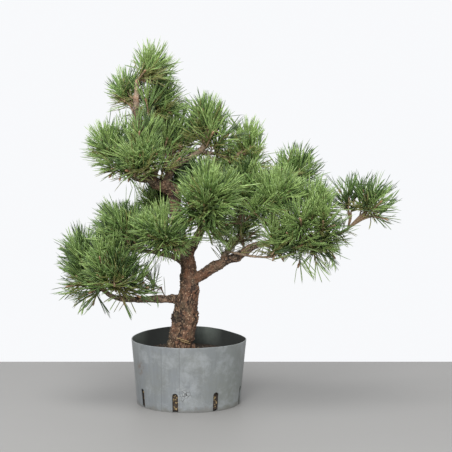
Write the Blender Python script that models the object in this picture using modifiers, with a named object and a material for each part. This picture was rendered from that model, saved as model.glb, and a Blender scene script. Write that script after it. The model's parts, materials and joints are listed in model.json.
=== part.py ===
"""A potted mugo pine: a small trained tree in a cut-down nursery pot.

Metres, +Z up. The origin is the centre of the pot's flat underside. The viewer stands at -Y, and +X is
to the viewer's right. The trunk, each bough, each mass of needles, the pot and the soil are solids of
their own. Limbs that meet, and limbs and the masses they carry, stay JOINT_GAP apart.
"""
import math
import random

import bmesh
import bpy
from mathutils import Matrix, Vector

MM = 0.001
JOINT_GAP = 0.3 * MM
WELD = 0.001 * MM
TURNED_WELD = 0.01 * MM
SMOOTH_ANGLE = math.radians(50)
FLAT_ANGLE = math.radians(0.3)
VOLUME_TOLERANCE = 0.001
GOLDEN_TURN = math.pi * (3 - math.sqrt(5))

# Pot
POT_HEIGHT = 117 * MM
POT_RIM_RADIUS = 102.5 * MM
POT_FOOT_RADIUS = 92.5 * MM
POT_WALL = 1.8 * MM
POT_FLOOR = 2.5 * MM
POT_SIDES = 56
SLOT_COUNT = 8
SLOT_WIDTH = 10 * MM
SLOT_HEIGHT = 32 * MM
SLOT_TURN = math.radians(29.4)
SLOT_ARC_STEPS = 6
SLOT_CUT_DEPTH = 6 * POT_WALL
DENT_DEPTH = 7 * MM
DENT_TURN = math.radians(48)
DENT_SPREAD = math.radians(32)
CORNER_DEPTH = 2 * MM
CORNER_TURN = math.radians(6)
CORNER_SPREAD = math.radians(14)

# Soil
SOIL_LEVEL = POT_HEIGHT - 28 * MM
SOIL_CLEARANCE = 1.1 * MM

# Trunk: places along its middle and its radius there, in millimetres
TRUNK_FOOT = SOIL_LEVEL + JOINT_GAP
TRUNK = [
    ((-16, 0, TRUNK_FOOT / MM), 27.0),
    ((-14, -2, 118), 23.0),
    ((-8, -4, 150), 21.0),
    ((-4, -4, 179), 19.5),
    ((0, -1, 215), 17.2),
    ((-1, 0, 250), 14.2),
    ((-10, 1, 290), 12.0),
    ((-22, 5, 325), 10.8),
    ((-25, 4, 362), 11.0),
    ((-38, 0, 387), 12.0),
    ((-61, -6, 397), 11.0),
    ((-75, -13, 422), 8.6),
    ((-79, -20, 462), 7.2),
    ((-87, -29, 507), 5.6),
    ((-90, -32, 542), 5.0),
    ((-89, -28, 573), 3.2),
]
TRUNK_SPAN_STEPS = 2
TRUNK_BEVEL = 3
TRUNK_SIDES = 2 * (TRUNK_BEVEL + 2)
BOUGH_BEVEL = 1
FLARE_LOBES = 5
FLARE_DEPTH = 3.5 * MM
FLARE_HEIGHT = 32 * MM
FLARE_TURN = math.radians(200)

# Boughs: the limb each grows from, its radius at the root and at the tip, and the places it passes,
# in millimetres. The first place is moved onto the middle of the limb it grows from.
BOUGHS = {
    "bough_low_left": ("trunk", 8.5, 4.0, [
        (-6, -2, 186), (-35, 9, 186), (-68, 11, 185), (-102, 0, 187), (-134, -10, 193),
        (-160, -8, 212)]),
    "bough_low_left_front": ("bough_low_left", 4.8, 3.4, [
        (-98, 0, 186), (-110, -20, 195), (-119, -35, 210)]),
    "bough_low_back": ("trunk", 7.0, 3.6, [
        (0, 0, 238), (-28, 34, 244), (-62, 58, 250), (-90, 72, 259)]),
    "bough_low_inner": ("bough_low_left", 3.4, 2.4, [
        (-36, 9, 186), (-44, 27, 190), (-48, 38, 196)]),
    "bough_left": ("trunk", 6.5, 3.6, [
        (-10, 1, 290), (-40, -14, 299), (-72, -27, 309), (-96, -33, 320)]),
    "bough_left_front": ("trunk", 6.0, 3.4, [
        (-3, 0, 262), (-14, -28, 274), (-26, -52, 290), (-30, -62, 298)]),
    "bough_right": ("trunk", 9.0, 3.0, [
        (3, 0, 222), (26, -10, 239), (49, -18, 255), (71, -22, 264), (94, -20, 268), (115, -12, 281),
        (145, -4, 291), (185, 0, 297), (236, 2, 303), (280, 0, 322)]),
    "bough_right_front": ("bough_right", 3.6, 2.8, [
        (72, -22, 264), (84, -38, 273), (104, -42, 276), (128, -46, 275)]),
    "bough_right_under": ("bough_right", 3.8, 2.6, [
        (188, 0, 297), (200, -8, 294), (210, -13, 290)]),
    "bough_right_outer": ("bough_right", 5.0, 3.2, [
        (145, -4, 291), (172, -20, 306), (196, -34, 328)]),
    "bough_low_far": ("bough_right", 4.4, 3.0, [
        (55, -19, 258), (70, 18, 268), (84, 50, 280)]),
    "bough_centre": ("trunk", 10.0, 3.6, [
        (-3, 0, 262), (14, 0, 297), (28, 0, 321), (42, 10, 343), (62, 20, 362), (102, 24, 372),
        (142, 22, 388), (164, 20, 402)]),
    "bough_centre_front": ("bough_centre", 5.6, 3.6, [
        (28, 0, 320), (35, -28, 331), (36, -56, 346)]),
    "bough_centre_back": ("bough_centre", 5.6, 3.6, [
        (34, 4, 331), (38, 34, 340), (41, 60, 354)]),
    "bough_middle": ("bough_centre", 4.6, 3.2, [
        (56, 17, 357), (70, 0, 362), (82, -9, 372)]),
    "bough_middle_right": ("bough_centre", 4.8, 3.2, [
        (98, 24, 371), (117, 0, 366), (136, -24, 364)]),
    "bough_far_right_back": ("bough_centre", 4.8, 3.2, [
        (84, 22, 368), (104, 48, 364), (128, 70, 362)]),
    "bough_upper": ("trunk", 7.2, 3.6, [
        (-36, 0, 388), (-14, -12, 424), (12, -20, 449), (34, -20, 476)]),
    "bough_upper_right": ("bough_upper", 4.2, 3.0, [
        (10, -19, 447), (44, -16, 451), (76, -6, 453)]),
    "bough_upper_middle": ("bough_upper", 4.2, 3.0, [
        (-16, -11, 422), (-22, -1, 438), (-25, 4, 450)]),
    "bough_upper_left": ("trunk", 6.5, 3.6, [
        (-66, -8, 402), (-86, -20, 405), (-103, -26, 414), (-117, -28, 430)]),
    "bough_shelf": ("trunk", 5.0, 3.2, [
        (-58, -5, 396), (-66, -26, 400), (-73, -39, 410)]),
    "bough_top_left": ("trunk", 3.4, 2.4, [
        (-87, -29, 507), (-98, -17, 528), (-105, -10, 539)]),
    "bough_top_right": ("trunk", 3.8, 2.6, [
        (-83, -25, 490), (-72, -8, 503), (-64, 0, 513)]),
    "bough_behind": ("trunk", 4.6, 3.0, [
        (-20, 4, 318), (-32, 28, 323), (-42, 45, 330)]),
    "bough_upper_back": ("trunk", 6.0, 3.6, [
        (-71, -10, 408), (-74, 26, 420), (-72, 54, 436)]),
}
BOUGH_SPAN_STEPS = 2
BOUGH_TAPER = 1.15

# Masses of needles: the limb that carries each at its tip, its middle and its reach along X, Y and Z
# from there, in millimetres, and how many shoots it has
MASSES = {
    "needles_apex": ("trunk", (-63, -20, 599), (50, 46, 52), 3),
    "needles_top_left": ("bough_top_left", (-118, 0, 564), (34, 38, 42), 2),
    "needles_top_right": ("bough_top_right", (-45, 15, 540), (42, 42, 44), 2),
    "needles_upper_left": ("bough_upper_left", (-144, -30, 462), (46, 50, 54), 3),
    "needles_shelf": ("bough_shelf", (-86, -60, 442), (46, 44, 50), 2),
    "needles_upper_middle": ("bough_upper_middle", (-27, 10, 477), (42, 46, 48), 2),
    "needles_shoulder": ("bough_upper", (35, -20, 514), (38, 42, 50), 2),
    "needles_upper_right": ("bough_upper_right", (109, 0, 471), (40, 44, 52), 2),
    "needles_centre": ("bough_centre_front", (38, -100, 384), (58, 50, 66), 3),
    "needles_middle": ("bough_middle", (97, -20, 396), (44, 46, 58), 2),
    "needles_crown_right": ("bough_centre", (197, 20, 426), (52, 46, 48), 3),
    "needles_middle_right": ("bough_middle_right", (158, -50, 376), (46, 46, 56), 2),
    "needles_right_outer": ("bough_right_outer", (228, -50, 359), (50, 50, 56), 3),
    "needles_right_low": ("bough_right_front", (162, -50, 288), (53, 42, 43), 2),
    "needles_right_under": ("bough_right_under", (239, -20, 282), (48, 46, 44), 2),
    "needles_far_right": ("bough_right", (323, 0, 360), (56, 50, 60), 3),
    "needles_left_front": ("bough_left_front", (-42, -90, 323), (57, 44, 54), 3),
    "needles_left": ("bough_left", (-123, -40, 336), (48, 46, 52), 2),
    "needles_low_left_tip": ("bough_low_left", (-193, 0, 270), (47, 50, 60), 3),
    "needles_low_left": ("bough_low_left_front", (-130, -50, 249), (58, 46, 62), 3),
    "needles_low_inner": ("bough_low_inner", (-53, 50, 218), (38, 36, 46), 2),
    "needles_behind": ("bough_behind", (-56, 70, 350), (46, 42, 44), 2),
    "needles_centre_back": ("bough_centre_back", (43, 100, 384), (64, 50, 58), 3),
    "needles_right_back": ("bough_far_right_back", (160, 100, 369), (62, 50, 55), 3),
    "needles_left_back": ("bough_low_back", (-119, 90, 285), (62, 50, 55), 3),
    "needles_upper_back": ("bough_upper_back", (-71, 90, 463), (60, 50, 56), 3),
    "needles_low_back": ("bough_low_far", (98, 90, 300), (42, 42, 42), 2),
}
CELL_MARGIN = 0.09
LIMB_CLEARANCE = 2.6 * MM
NEAR_DEPTH = 1.8
CROWN_FULLNESS = 1.06
STEM_SHARE = 0.3
STEM_BEND = 0.5
STEM_NARROWING = 0.95
SHOOT_SPREAD = math.radians(90)
SHOOT_FIRST_SHARE = 0.35
SHOOT_TURN_SPREAD = 0.4
SHOOT_LIFT = 0.35
SHOOT_INSET = 42 * MM
SHOOT_LEAST_OFFSET = 8 * MM
SHOOT_BASE_SHARE = 0.25
SHOOT_BOW = 0.10
SHOOT_TIP_LIFT = 0.15
TWIG_RADII = (2.9 * MM, 2.7 * MM, 2.1 * MM)
TWIG_SINK = 2.5 * MM

# Sprays: flat toothed blades that stand out from each shoot's core, each tooth a bundle of needles
BLADES_PER_SHOOT = 3
TEETH_PER_BLADE = 5
TOOTH_LENGTH = 53 * MM
TOOTH_LENGTH_SPREAD = 0.08
TOOTH_ANGLE_ROOT = math.radians(88)
TOOTH_ANGLE_TIP = math.radians(8)
TOOTH_SHORTER = (1.0, 0.82, 0.66)
TOOTH_FIRST = 0.04
TOOTH_LAST = 0.96
VALLEY_SHORTER = (0.42, 0.3, 0.16)
BLADE_FOOT = -0.04
BLADE_END = 0.98
BLADE_THICKNESS = 1.4 * MM
BLADE_TURNS_TRIED = 6
SHOOT_CLEARANCE = 1.6 * MM
RUN_SAMPLES = 6
GROWTH_SEED = 11

# Finish: colour, roughness and metallic value
FINISHES = {
    "bark": ((0.092, 0.058, 0.036), 0.9, 0.0),
    "needles": ((0.085, 0.155, 0.045), 0.55, 0.0),
    "pot": ((0.31, 0.32, 0.33), 0.55, 0.0),
    "soil": ((0.035, 0.028, 0.02), 0.95, 0.0),
}


def clear_scene():
    """Take away what a new file starts with."""
    for thing in list(bpy.data.objects):
        bpy.data.objects.remove(thing, do_unlink=True)


def new_collection(name, parent):
    """A collection inside another."""
    collection = bpy.data.collections.new(name)
    parent.children.link(collection)
    return collection


def finish(name):
    """The material of one finish, made once."""
    if name in bpy.data.materials:
        return bpy.data.materials[name]
    colour, roughness, metallic = FINISHES[name]
    material = bpy.data.materials.new(name)
    material.use_nodes = True
    shader = material.node_tree.nodes["Principled BSDF"]
    shader.inputs["Base Color"].default_value = (*colour, 1.0)
    shader.inputs["Roughness"].default_value = roughness
    shader.inputs["Metallic"].default_value = metallic
    material.diffuse_color = (*colour, 1.0)
    return material


def in_metres(place):
    """A place given in millimetres, as a vector in metres."""
    return Vector(place) * MM


def smooth_run(values, steps):
    """Values along a smooth curve through the given ones, with steps between each two."""
    last = len(values) - 1
    run = []
    for index in range(last):
        before = values[max(index - 1, 0)]
        start = values[index]
        end = values[index + 1]
        after = values[min(index + 2, last)]
        for step in range(steps):
            t = step / steps
            run.append(0.5 * (2 * start + (end - before) * t
                              + (2 * before - 5 * start + 4 * end - after) * t ** 2
                              + (3 * start - before - 3 * end + after) * t ** 3))
    run.append(values[last])
    return run


def mesh_object(name, mesh, collection, material_name):
    """An object for a mesh, with its material."""
    thing = bpy.data.objects.new(name, mesh)
    collection.objects.link(thing)
    mesh.materials.clear()
    mesh.materials.append(finish(material_name))
    return thing


def evaluated_mesh(thing):
    """A new mesh with the object's modifiers and curve settings worked in."""
    bpy.context.view_layer.update()
    graph = bpy.context.evaluated_depsgraph_get()
    return bpy.data.meshes.new_from_object(thing.evaluated_get(graph))


def as_mesh(curve_object, collection, material_name):
    """The curve as a closed mesh with its caps welded on. The curve is taken away."""
    name = curve_object.name
    place = curve_object.matrix_world.copy()
    mesh = evaluated_mesh(curve_object)
    bpy.data.objects.remove(curve_object, do_unlink=True)
    shape = bmesh.new()
    shape.from_mesh(mesh)
    bmesh.ops.remove_doubles(shape, verts=shape.verts, dist=WELD)
    bmesh.ops.recalc_face_normals(shape, faces=shape.faces)
    shape.to_mesh(mesh)
    shape.free()
    thing = mesh_object(name, mesh, collection, material_name)
    thing.matrix_world = place
    return thing


def limb_object(name, route, radii, resolution, collection):
    """A limb as a tube along its route, closed at both ends."""
    curve = bpy.data.curves.new(name, "CURVE")
    curve.dimensions = "3D"
    curve.bevel_depth = 1.0
    curve.bevel_resolution = resolution
    curve.use_fill_caps = True
    spline = curve.splines.new("POLY")
    spline.points.add(len(route) - 1)
    for point, place, radius in zip(spline.points, route, radii):
        point.co = (*place, 1.0)
        point.radius = radius
    thing = bpy.data.objects.new(name, curve)
    collection.objects.link(thing)
    return as_mesh(thing, collection, "bark")


def shade_smooth(thing):
    """Round the limb's shading over its sides."""
    thing.data.shade_smooth()
    thing.data.set_sharp_from_angle(angle=SMOOTH_ANGLE)


def hide_cutter(thing):
    """Mark an object as a tool that is not part of the model."""
    thing.hide_render = True
    thing.display_type = "WIRE"


def rim_shift(turn):
    """How far the pot's rim stands out of round, at an angle from +X."""
    dent = (turn - DENT_TURN + math.pi) % math.tau - math.pi
    corner = (turn - CORNER_TURN + math.pi) % math.tau - math.pi
    flattened = DENT_DEPTH * math.exp(-(dent / DENT_SPREAD) ** 2)
    pinched = CORNER_DEPTH * math.exp(-(corner / CORNER_SPREAD) ** 2)
    return pinched - flattened


def bend_out_of_round(mesh):
    """Push a turned mesh out of round, more the higher it is."""
    for vertex in mesh.vertices:
        across = vertex.co.xy.length
        if across < WELD:
            continue
        turn = math.atan2(vertex.co.y, vertex.co.x)
        share = vertex.co.z / POT_HEIGHT * across / POT_RIM_RADIUS
        vertex.co.xy *= 1 + rim_shift(turn) * share / across


def turned_solid(name, profile, collection, material_name):
    """A solid turned round +Z from a profile that starts and ends on the axis."""
    mesh = bpy.data.meshes.new(name)
    shape = bmesh.new()
    corners = [shape.verts.new((across, 0, height)) for across, height in profile]
    for start, end in zip(corners, corners[1:]):
        shape.edges.new((start, end))
    shape.to_mesh(mesh)
    shape.free()
    thing = mesh_object(name, mesh, collection, material_name)
    screw = thing.modifiers.new("turn", "SCREW")
    screw.steps = POT_SIDES
    screw.render_steps = POT_SIDES
    screw.use_merge_vertices = True
    screw.merge_threshold = TURNED_WELD
    turned = evaluated_mesh(thing)
    thing.modifiers.clear()
    thing.data = turned
    bend_out_of_round(turned)
    return thing


def slot_cutter(index, collection):
    """A tool with the outline of a drain slot: upright sides and a round top."""
    half = SLOT_WIDTH / 2
    spring = SLOT_HEIGHT - half
    outline = [(-half, -SLOT_HEIGHT), (half, -SLOT_HEIGHT)]
    for step in range(SLOT_ARC_STEPS + 1):
        turn = math.pi * step / SLOT_ARC_STEPS
        outline.append((half * math.cos(turn), spring + half * math.sin(turn)))
    curve = bpy.data.curves.new("slot_cutter", "CURVE")
    curve.dimensions = "2D"
    curve.fill_mode = "BOTH"
    curve.extrude = SLOT_CUT_DEPTH / 2
    spline = curve.splines.new("POLY")
    spline.use_cyclic_u = True
    spline.points.add(len(outline) - 1)
    for point, (across, height) in zip(spline.points, outline):
        point.co = (across, height, 0.0, 1.0)
    thing = bpy.data.objects.new(f"slot_cutter_{index + 1}", curve)
    collection.objects.link(thing)
    turn = SLOT_TURN + math.tau * index / SLOT_COUNT - math.pi / 2
    across = POT_FOOT_RADIUS + POT_WALL
    thing.location = (across * math.cos(turn), across * math.sin(turn), 0.0)
    thing.rotation_euler = (math.pi / 2, 0.0, turn + math.pi / 2)
    bpy.context.view_layer.update()
    cutter = as_mesh(thing, collection, "pot")
    hide_cutter(cutter)


def make_pot(parts, cutters):
    """The pot: a tapered round container with slots up from its foot."""
    lean = (POT_RIM_RADIUS - POT_FOOT_RADIUS) / POT_HEIGHT
    profile = [
        (0.0, POT_FLOOR),
        (POT_FOOT_RADIUS + lean * POT_FLOOR - POT_WALL, POT_FLOOR),
        (POT_RIM_RADIUS - POT_WALL, POT_HEIGHT),
        (POT_RIM_RADIUS, POT_HEIGHT),
        (POT_FOOT_RADIUS, 0.0),
        (0.0, 0.0),
    ]
    pot = turned_solid("pot", profile, parts, "pot")
    slots = new_collection("slot cutters", cutters)
    for index in range(SLOT_COUNT):
        slot_cutter(index, slots)
    cut = pot.modifiers.new("slots", "BOOLEAN")
    cut.operand_type = "COLLECTION"
    cut.collection = slots


def make_soil(parts):
    """The soil: what fills the pot up to the foot of the trunk."""
    lean = (POT_RIM_RADIUS - POT_FOOT_RADIUS) / POT_HEIGHT
    foot = POT_FLOOR + JOINT_GAP
    inside = POT_FOOT_RADIUS - POT_WALL - SOIL_CLEARANCE
    profile = [
        (0.0, SOIL_LEVEL),
        (inside + lean * SOIL_LEVEL, SOIL_LEVEL),
        (inside + lean * foot, foot),
        (0.0, foot),
    ]
    turned_solid("soil", profile, parts, "soil")


class Limb:
    """The trunk or a bough: the places its middle passes and its radius at each."""

    def __init__(self, name, route, radii, resolution):
        self.name = name
        self.route = route
        self.radii = radii
        self.resolution = resolution

    def tip(self):
        """The end of the limb and the way it points there."""
        return self.route[-1], (self.route[-1] - self.route[-2]).normalized()

    def nearest(self, place):
        """The place on the limb's middle line that lies nearest."""
        best = None
        for start, end in zip(self.route, self.route[1:]):
            along = max(0.0, min(1.0, (place - start).dot(end - start) / (end - start).length_squared))
            spot = start.lerp(end, along)
            if best is None or (spot - place).length < (best - place).length:
                best = spot
        return best

    def touches(self, place, margin):
        """Whether a place lies on the limb or within the margin of it."""
        for index in range(len(self.route) - 1):
            start = self.route[index]
            run = self.route[index + 1] - start
            along = max(0.0, min(1.0, (place - start).dot(run) / run.length_squared))
            radius = self.radii[index] + (self.radii[index + 1] - self.radii[index]) * along
            if (place - start - run * along).length < radius + margin:
                return True
        return False

    def comes_near(self, space):
        """Whether the limb passes through or close by a mass's space."""
        return any(space.depth(place) < NEAR_DEPTH for place in self.route)


def trunk_limb():
    """The trunk, from its flat cut at the soil to its tip."""
    route = smooth_run([in_metres(place) for place, _ in TRUNK], TRUNK_SPAN_STEPS)
    radii = smooth_run([radius * MM for _, radius in TRUNK], TRUNK_SPAN_STEPS)
    return Limb("trunk", route, radii, TRUNK_BEVEL)


def bough_limb(name, limbs):
    """One bough, tapering from the middle of the limb it grows from."""
    parent, root_radius, tip_radius, places = BOUGHS[name]
    points = [in_metres(place) for place in places]
    points[0] = limbs[parent].nearest(points[0])
    route = smooth_run(points, BOUGH_SPAN_STEPS)
    last = len(route) - 1
    radii = []
    for index in range(last + 1):
        share = (1 - index / last) ** BOUGH_TAPER
        radii.append((tip_radius + (root_radius - tip_radius) * share) * MM)
    return Limb(name, route, radii, BOUGH_BEVEL)


def shape_flare(thing):
    """Spread the trunk's foot into root buttresses and cut it flat at the soil."""
    foot = thing.data.vertices
    middle = in_metres(TRUNK[0][0])
    lowest_ring = sorted(foot, key=lambda vertex: vertex.co.z)[:TRUNK_SIDES]
    for vertex in foot:
        height = vertex.co.z - TRUNK_FOOT
        if height > FLARE_HEIGHT:
            continue
        away = (vertex.co - middle).xy
        turn = math.atan2(away.y, away.x)
        lobe = math.cos(FLARE_LOBES * (turn - FLARE_TURN)) * FLARE_DEPTH * (1 - height / FLARE_HEIGHT)
        vertex.co.xy += away.normalized() * lobe
    for vertex in lowest_ring:
        vertex.co.z = TRUNK_FOOT


def make_limb(limb, parts):
    """The limb's solid."""
    thing = limb_object(limb.name, limb.route, limb.radii, limb.resolution, parts)
    if limb.name == "trunk":
        shape_flare(thing)
    shade_smooth(thing)
    return thing


def make_sleeve(limb, cutters):
    """A tool a little thicker than the limb, which cuts back what grows from it."""
    radii = [radius + JOINT_GAP for radius in limb.radii]
    sleeve = limb_object(limb.name + "_sleeve", limb.route, radii, limb.resolution, cutters)
    hide_cutter(sleeve)
    return sleeve


def make_limbs(limbs, parts, cutters):
    """The trunk and every bough, each cut back to the limb it grows from."""
    sleeves = {}
    for name, limb in limbs.items():
        thing = make_limb(limb, parts)
        if name == "trunk":
            continue
        parent = BOUGHS[name][0]
        if parent not in sleeves:
            sleeves[parent] = make_sleeve(limbs[parent], cutters)
        cut = thing.modifiers.new("root", "BOOLEAN")
        cut.object = sleeves[parent]


class Space:
    """The space of one mass: what lies inside its reach and nearer to its middle than to any other's."""

    def __init__(self, name):
        self.name = name
        _, middle, reach, _ = MASSES[name]
        self.middle = in_metres(middle)
        self.reach = in_metres(reach) * CROWN_FULLNESS

    def depth(self, place):
        """0 at the middle, 1 at the edge of the reach."""
        away = place - self.middle
        return Vector((away.x / self.reach.x, away.y / self.reach.y, away.z / self.reach.z)).length

    def reach_along(self, heading):
        """The distance from the middle to the edge in one direction."""
        scaled = Vector((heading.x / self.reach.x, heading.y / self.reach.y, heading.z / self.reach.z))
        return 1 / scaled.length

    def holds(self, place, spaces, margin):
        """Whether a place is inside, and clear of the neighbours' spaces by the margin."""
        depth = self.depth(place)
        if depth > 1:
            return False
        return all(depth + margin < other.depth(place) for other in spaces if other is not self)


def side_ways(heading):
    """Two directions across a heading and across each other."""
    side = heading.orthogonal().normalized()
    return side, heading.cross(side).normalized()


def fan(heading, polar, turn):
    """The direction at an angle from a heading, turned round it."""
    side, other = side_ways(heading)
    return (heading * math.cos(polar) + (side * math.cos(turn) + other * math.sin(turn)) * math.sin(polar))


def distance_to_run(place, start, end):
    """The distance from a place to a straight run."""
    run = end - start
    along = max(0.0, min(1.0, (place - start).dot(run) / run.length_squared))
    return (place - start - run * along).length


class Shoot:
    """One shoot: a twig from the fork of its mass, then the straight run that bears needles."""

    def __init__(self, fork, heading, tip):
        span = (tip - fork).length
        self.fork = fork
        self.base = fork.lerp(tip, SHOOT_BASE_SHARE) + heading * span * SHOOT_BOW
        self.tip = tip
        self.way = (tip - self.base).normalized()
        self.length = (tip - self.base).length

    def distance(self, place):
        """The distance from a place to the shoot's bearing run."""
        return distance_to_run(place, self.base, self.tip)

    def core_object(self, collection):
        """The core of the shoot, a slim four-sided limb."""
        return limb_object("shoot", (self.fork, self.base, self.tip), TWIG_RADII, 0, collection)

    def place(self, out, across, along):
        """A place beside the shoot: across from it in one direction, and along it from its base."""
        return self.base + out * across + self.way * along


class Room:
    """The room of one shoot: its mass's space, off every limb and nearer to it than to other shoots."""

    def __init__(self, shoot, shoots, own, spaces, limbs):
        self.shoot = shoot
        self.rivals = [other for other in shoots if other is not shoot]
        self.own = own
        self.spaces = spaces
        self.limbs = limbs

    def takes(self, start, end):
        """Whether a straight run keeps to the room."""
        for index in range(1, RUN_SAMPLES + 1):
            place = start.lerp(end, index / RUN_SAMPLES)
            if not self.own.holds(place, self.spaces, CELL_MARGIN):
                return False
            if any(limb.touches(place, LIMB_CLEARANCE) for limb in self.limbs):
                return False
            mine = self.shoot.distance(place) + SHOOT_CLEARANCE
            if any(rival.distance(place) < mine for rival in self.rivals):
                return False
        return True


def tooth_run(shoot, share, polar, reach):
    """A run on a blade, from the shoot's middle line: its two ends on the blade's flat."""
    along = shoot.length * (TOOTH_FIRST + (TOOTH_LAST - TOOTH_FIRST) * share)
    return (0.0, along), (reach * math.sin(polar), along + reach * math.cos(polar))


def blade_outline(shoot, out, seed, room):
    """A blade's outline on its flat, and how much needle it has room for.

    Teeth run out from the shoot, wide at its base and closing up at its tip. A tooth with no room is
    made shorter or left out, and the valleys between teeth draw back in the same way.
    """
    rng = random.Random(seed)
    outline = [(0.0, BLADE_FOOT * shoot.length)]
    total = 0.0
    steps = 2 * TEETH_PER_BLADE - 1
    for index in range(steps):
        share = index / (steps - 1)
        polar = TOOTH_ANGLE_ROOT + (TOOTH_ANGLE_TIP - TOOTH_ANGLE_ROOT) * share
        length = TOOTH_LENGTH * (1 + rng.uniform(-1, 1) * TOOTH_LENGTH_SPREAD)
        is_tooth = index % 2 == 0
        choices = TOOTH_SHORTER if is_tooth else VALLEY_SHORTER
        for choice in choices:
            root, end = tooth_run(shoot, share, polar, length * choice)
            if room.takes(shoot.place(out, *root), shoot.place(out, *end)):
                outline.append(end)
                total += length * choice if is_tooth else 0.0
                break
    outline.append((0.0, BLADE_END * shoot.length))
    return outline, total


def blade_object(shoot, out, outline, collection):
    """One blade as a thin solid."""
    curve = bpy.data.curves.new("blade", "CURVE")
    curve.dimensions = "2D"
    curve.fill_mode = "BOTH"
    curve.extrude = BLADE_THICKNESS / 2
    spline = curve.splines.new("POLY")
    spline.use_cyclic_u = True
    spline.points.add(len(outline) - 1)
    for point, (across, along) in zip(spline.points, outline):
        point.co = (across, along, 0.0, 1.0)
    thing = bpy.data.objects.new("blade", curve)
    collection.objects.link(thing)
    turned = Matrix((out, shoot.way, out.cross(shoot.way))).transposed().to_4x4()
    thing.matrix_world = Matrix.Translation(shoot.base) @ turned
    bpy.context.view_layer.update()
    return as_mesh(thing, collection, "needles")


def add_sprays(shoot, room, rng, collection):
    """The blades round one shoot, turned to where their needles have most room."""
    side, other = side_ways(shoot.way)
    seeds = [rng.random() for _ in range(BLADES_PER_SHOOT)]
    best = []
    most = 0.0
    for attempt in range(BLADE_TURNS_TRIED):
        blades = []
        for index in range(BLADES_PER_SHOOT):
            turn = math.tau * (index + attempt / BLADE_TURNS_TRIED) / BLADES_PER_SHOOT
            out = side * math.cos(turn) + other * math.sin(turn)
            blades.append((out, *blade_outline(shoot, out, seeds[index], room)))
        total = sum(needle for _, _, needle in blades)
        if total > most:
            best, most = blades, total
    for out, outline, needle in best:
        if needle:
            blade_object(shoot, out, outline, collection)


def bodies_of(shape):
    """The vertices of each separate body of a mesh."""
    left = set(shape.verts)
    bodies = []
    while left:
        first = left.pop()
        body = {first}
        edge = [first]
        while edge:
            for link in edge.pop().link_edges:
                for vertex in link.verts:
                    if vertex in left:
                        left.remove(vertex)
                        body.add(vertex)
                        edge.append(vertex)
        bodies.append(body)
    return bodies


def is_closed(shape):
    """Whether every edge of a mesh joins two faces."""
    return all(edge.is_manifold for edge in shape.edges)


def clean_union(mesh):
    """Drop loose scraps and sealed hollows, and join faces that lie on one flat, where that stays closed."""
    shape = bmesh.new()
    shape.from_mesh(mesh)
    keep = max(bodies_of(shape), key=len)
    scraps = [vertex for vertex in shape.verts if vertex not in keep]
    bmesh.ops.delete(shape, geom=scraps, context="VERTS")
    plain = shape.copy()
    bmesh.ops.dissolve_limit(shape, angle_limit=FLAT_ANGLE, verts=shape.verts, edges=shape.edges)
    bmesh.ops.triangulate(shape, faces=shape.faces)
    bmesh.ops.triangulate(plain, faces=plain.faces)
    same_volume = abs(shape.calc_volume() / plain.calc_volume() - 1) < VOLUME_TOLERANCE
    chosen = shape if is_closed(shape) and same_volume else plain
    closed = is_closed(chosen)
    chosen.to_mesh(mesh)
    shape.free()
    plain.free()
    return closed


def fuse(thing, loose, solver):
    """The object joined with everything in a collection, as one closed mesh."""
    join = thing.modifiers.new("fuse", "BOOLEAN")
    join.operation = "UNION"
    join.operand_type = "COLLECTION"
    join.collection = loose
    join.solver = solver
    mesh = evaluated_mesh(thing)
    thing.modifiers.remove(join)
    return mesh, clean_union(mesh)


def make_mass(name, spaces, limbs, parts):
    """One mass of needles: a stem on its bough's tip, shoots that fan out of it and their needles."""
    carrier, _, _, shoot_count = MASSES[name]
    own = next(space for space in spaces if space.name == name)
    rng = random.Random(f"{GROWTH_SEED} {name}")
    start, way = limbs[carrier].tip()
    root = start + way * JOINT_GAP
    fork = root.lerp(own.middle, STEM_SHARE)
    heading = ((own.middle - fork).normalized() + Vector((0, 0, SHOOT_LIFT))).normalized()
    tip_radius = limbs[carrier].radii[-1]
    near = [limb for limb in limbs.values() if limb.comes_near(own)]

    loose = new_collection(name + " sprays", bpy.context.scene.collection)
    span = (fork - root).length
    stem_route = [root, root + way * span * STEM_BEND, fork, fork + heading * TWIG_SINK]
    stem_radii = (tip_radius, tip_radius * STEM_NARROWING, TWIG_RADII[0], TWIG_RADII[1])
    stem = limb_object(name, stem_route, stem_radii, 0, parts)
    shoots = []
    for index in range(shoot_count):
        polar = SHOOT_SPREAD * math.sqrt((index + SHOOT_FIRST_SHARE) / shoot_count)
        turn = index * GOLDEN_TURN + rng.uniform(-SHOOT_TURN_SPREAD, SHOOT_TURN_SPREAD)
        aim = fan(heading, polar, turn)
        offset = max(own.reach_along(aim) - SHOOT_INSET, SHOOT_LEAST_OFFSET)
        tip = own.middle + (aim + Vector((0, 0, SHOOT_TIP_LIFT))).normalized() * offset
        shoots.append(Shoot(fork, heading, tip))
    for shoot in shoots:
        shoot.core_object(loose)
        add_sprays(shoot, Room(shoot, shoots, own, spaces, near), rng, loose)

    mesh, closed = fuse(stem, loose, "MANIFOLD")
    if not closed:
        mesh, closed = fuse(stem, loose, "EXACT")
    if not closed:
        raise ValueError(f"{name} did not fuse into one closed body")
    stem.data = mesh
    mesh.materials.clear()
    mesh.materials.append(finish("needles"))
    for piece in list(loose.objects):
        bpy.data.objects.remove(piece, do_unlink=True)
    bpy.data.collections.remove(loose)


def main():
    """Build the whole plant."""
    clear_scene()
    parts = new_collection("potted mugo pine", bpy.context.scene.collection)
    cutters = new_collection("cutters", bpy.context.scene.collection)
    make_pot(parts, cutters)
    make_soil(parts)
    limbs = {"trunk": trunk_limb()}
    for name in BOUGHS:
        limbs[name] = bough_limb(name, limbs)
    make_limbs(limbs, parts, cutters)
    spaces = [Space(name) for name in MASSES]
    for name in MASSES:
        make_mass(name, spaces, limbs, parts)


main()
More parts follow.
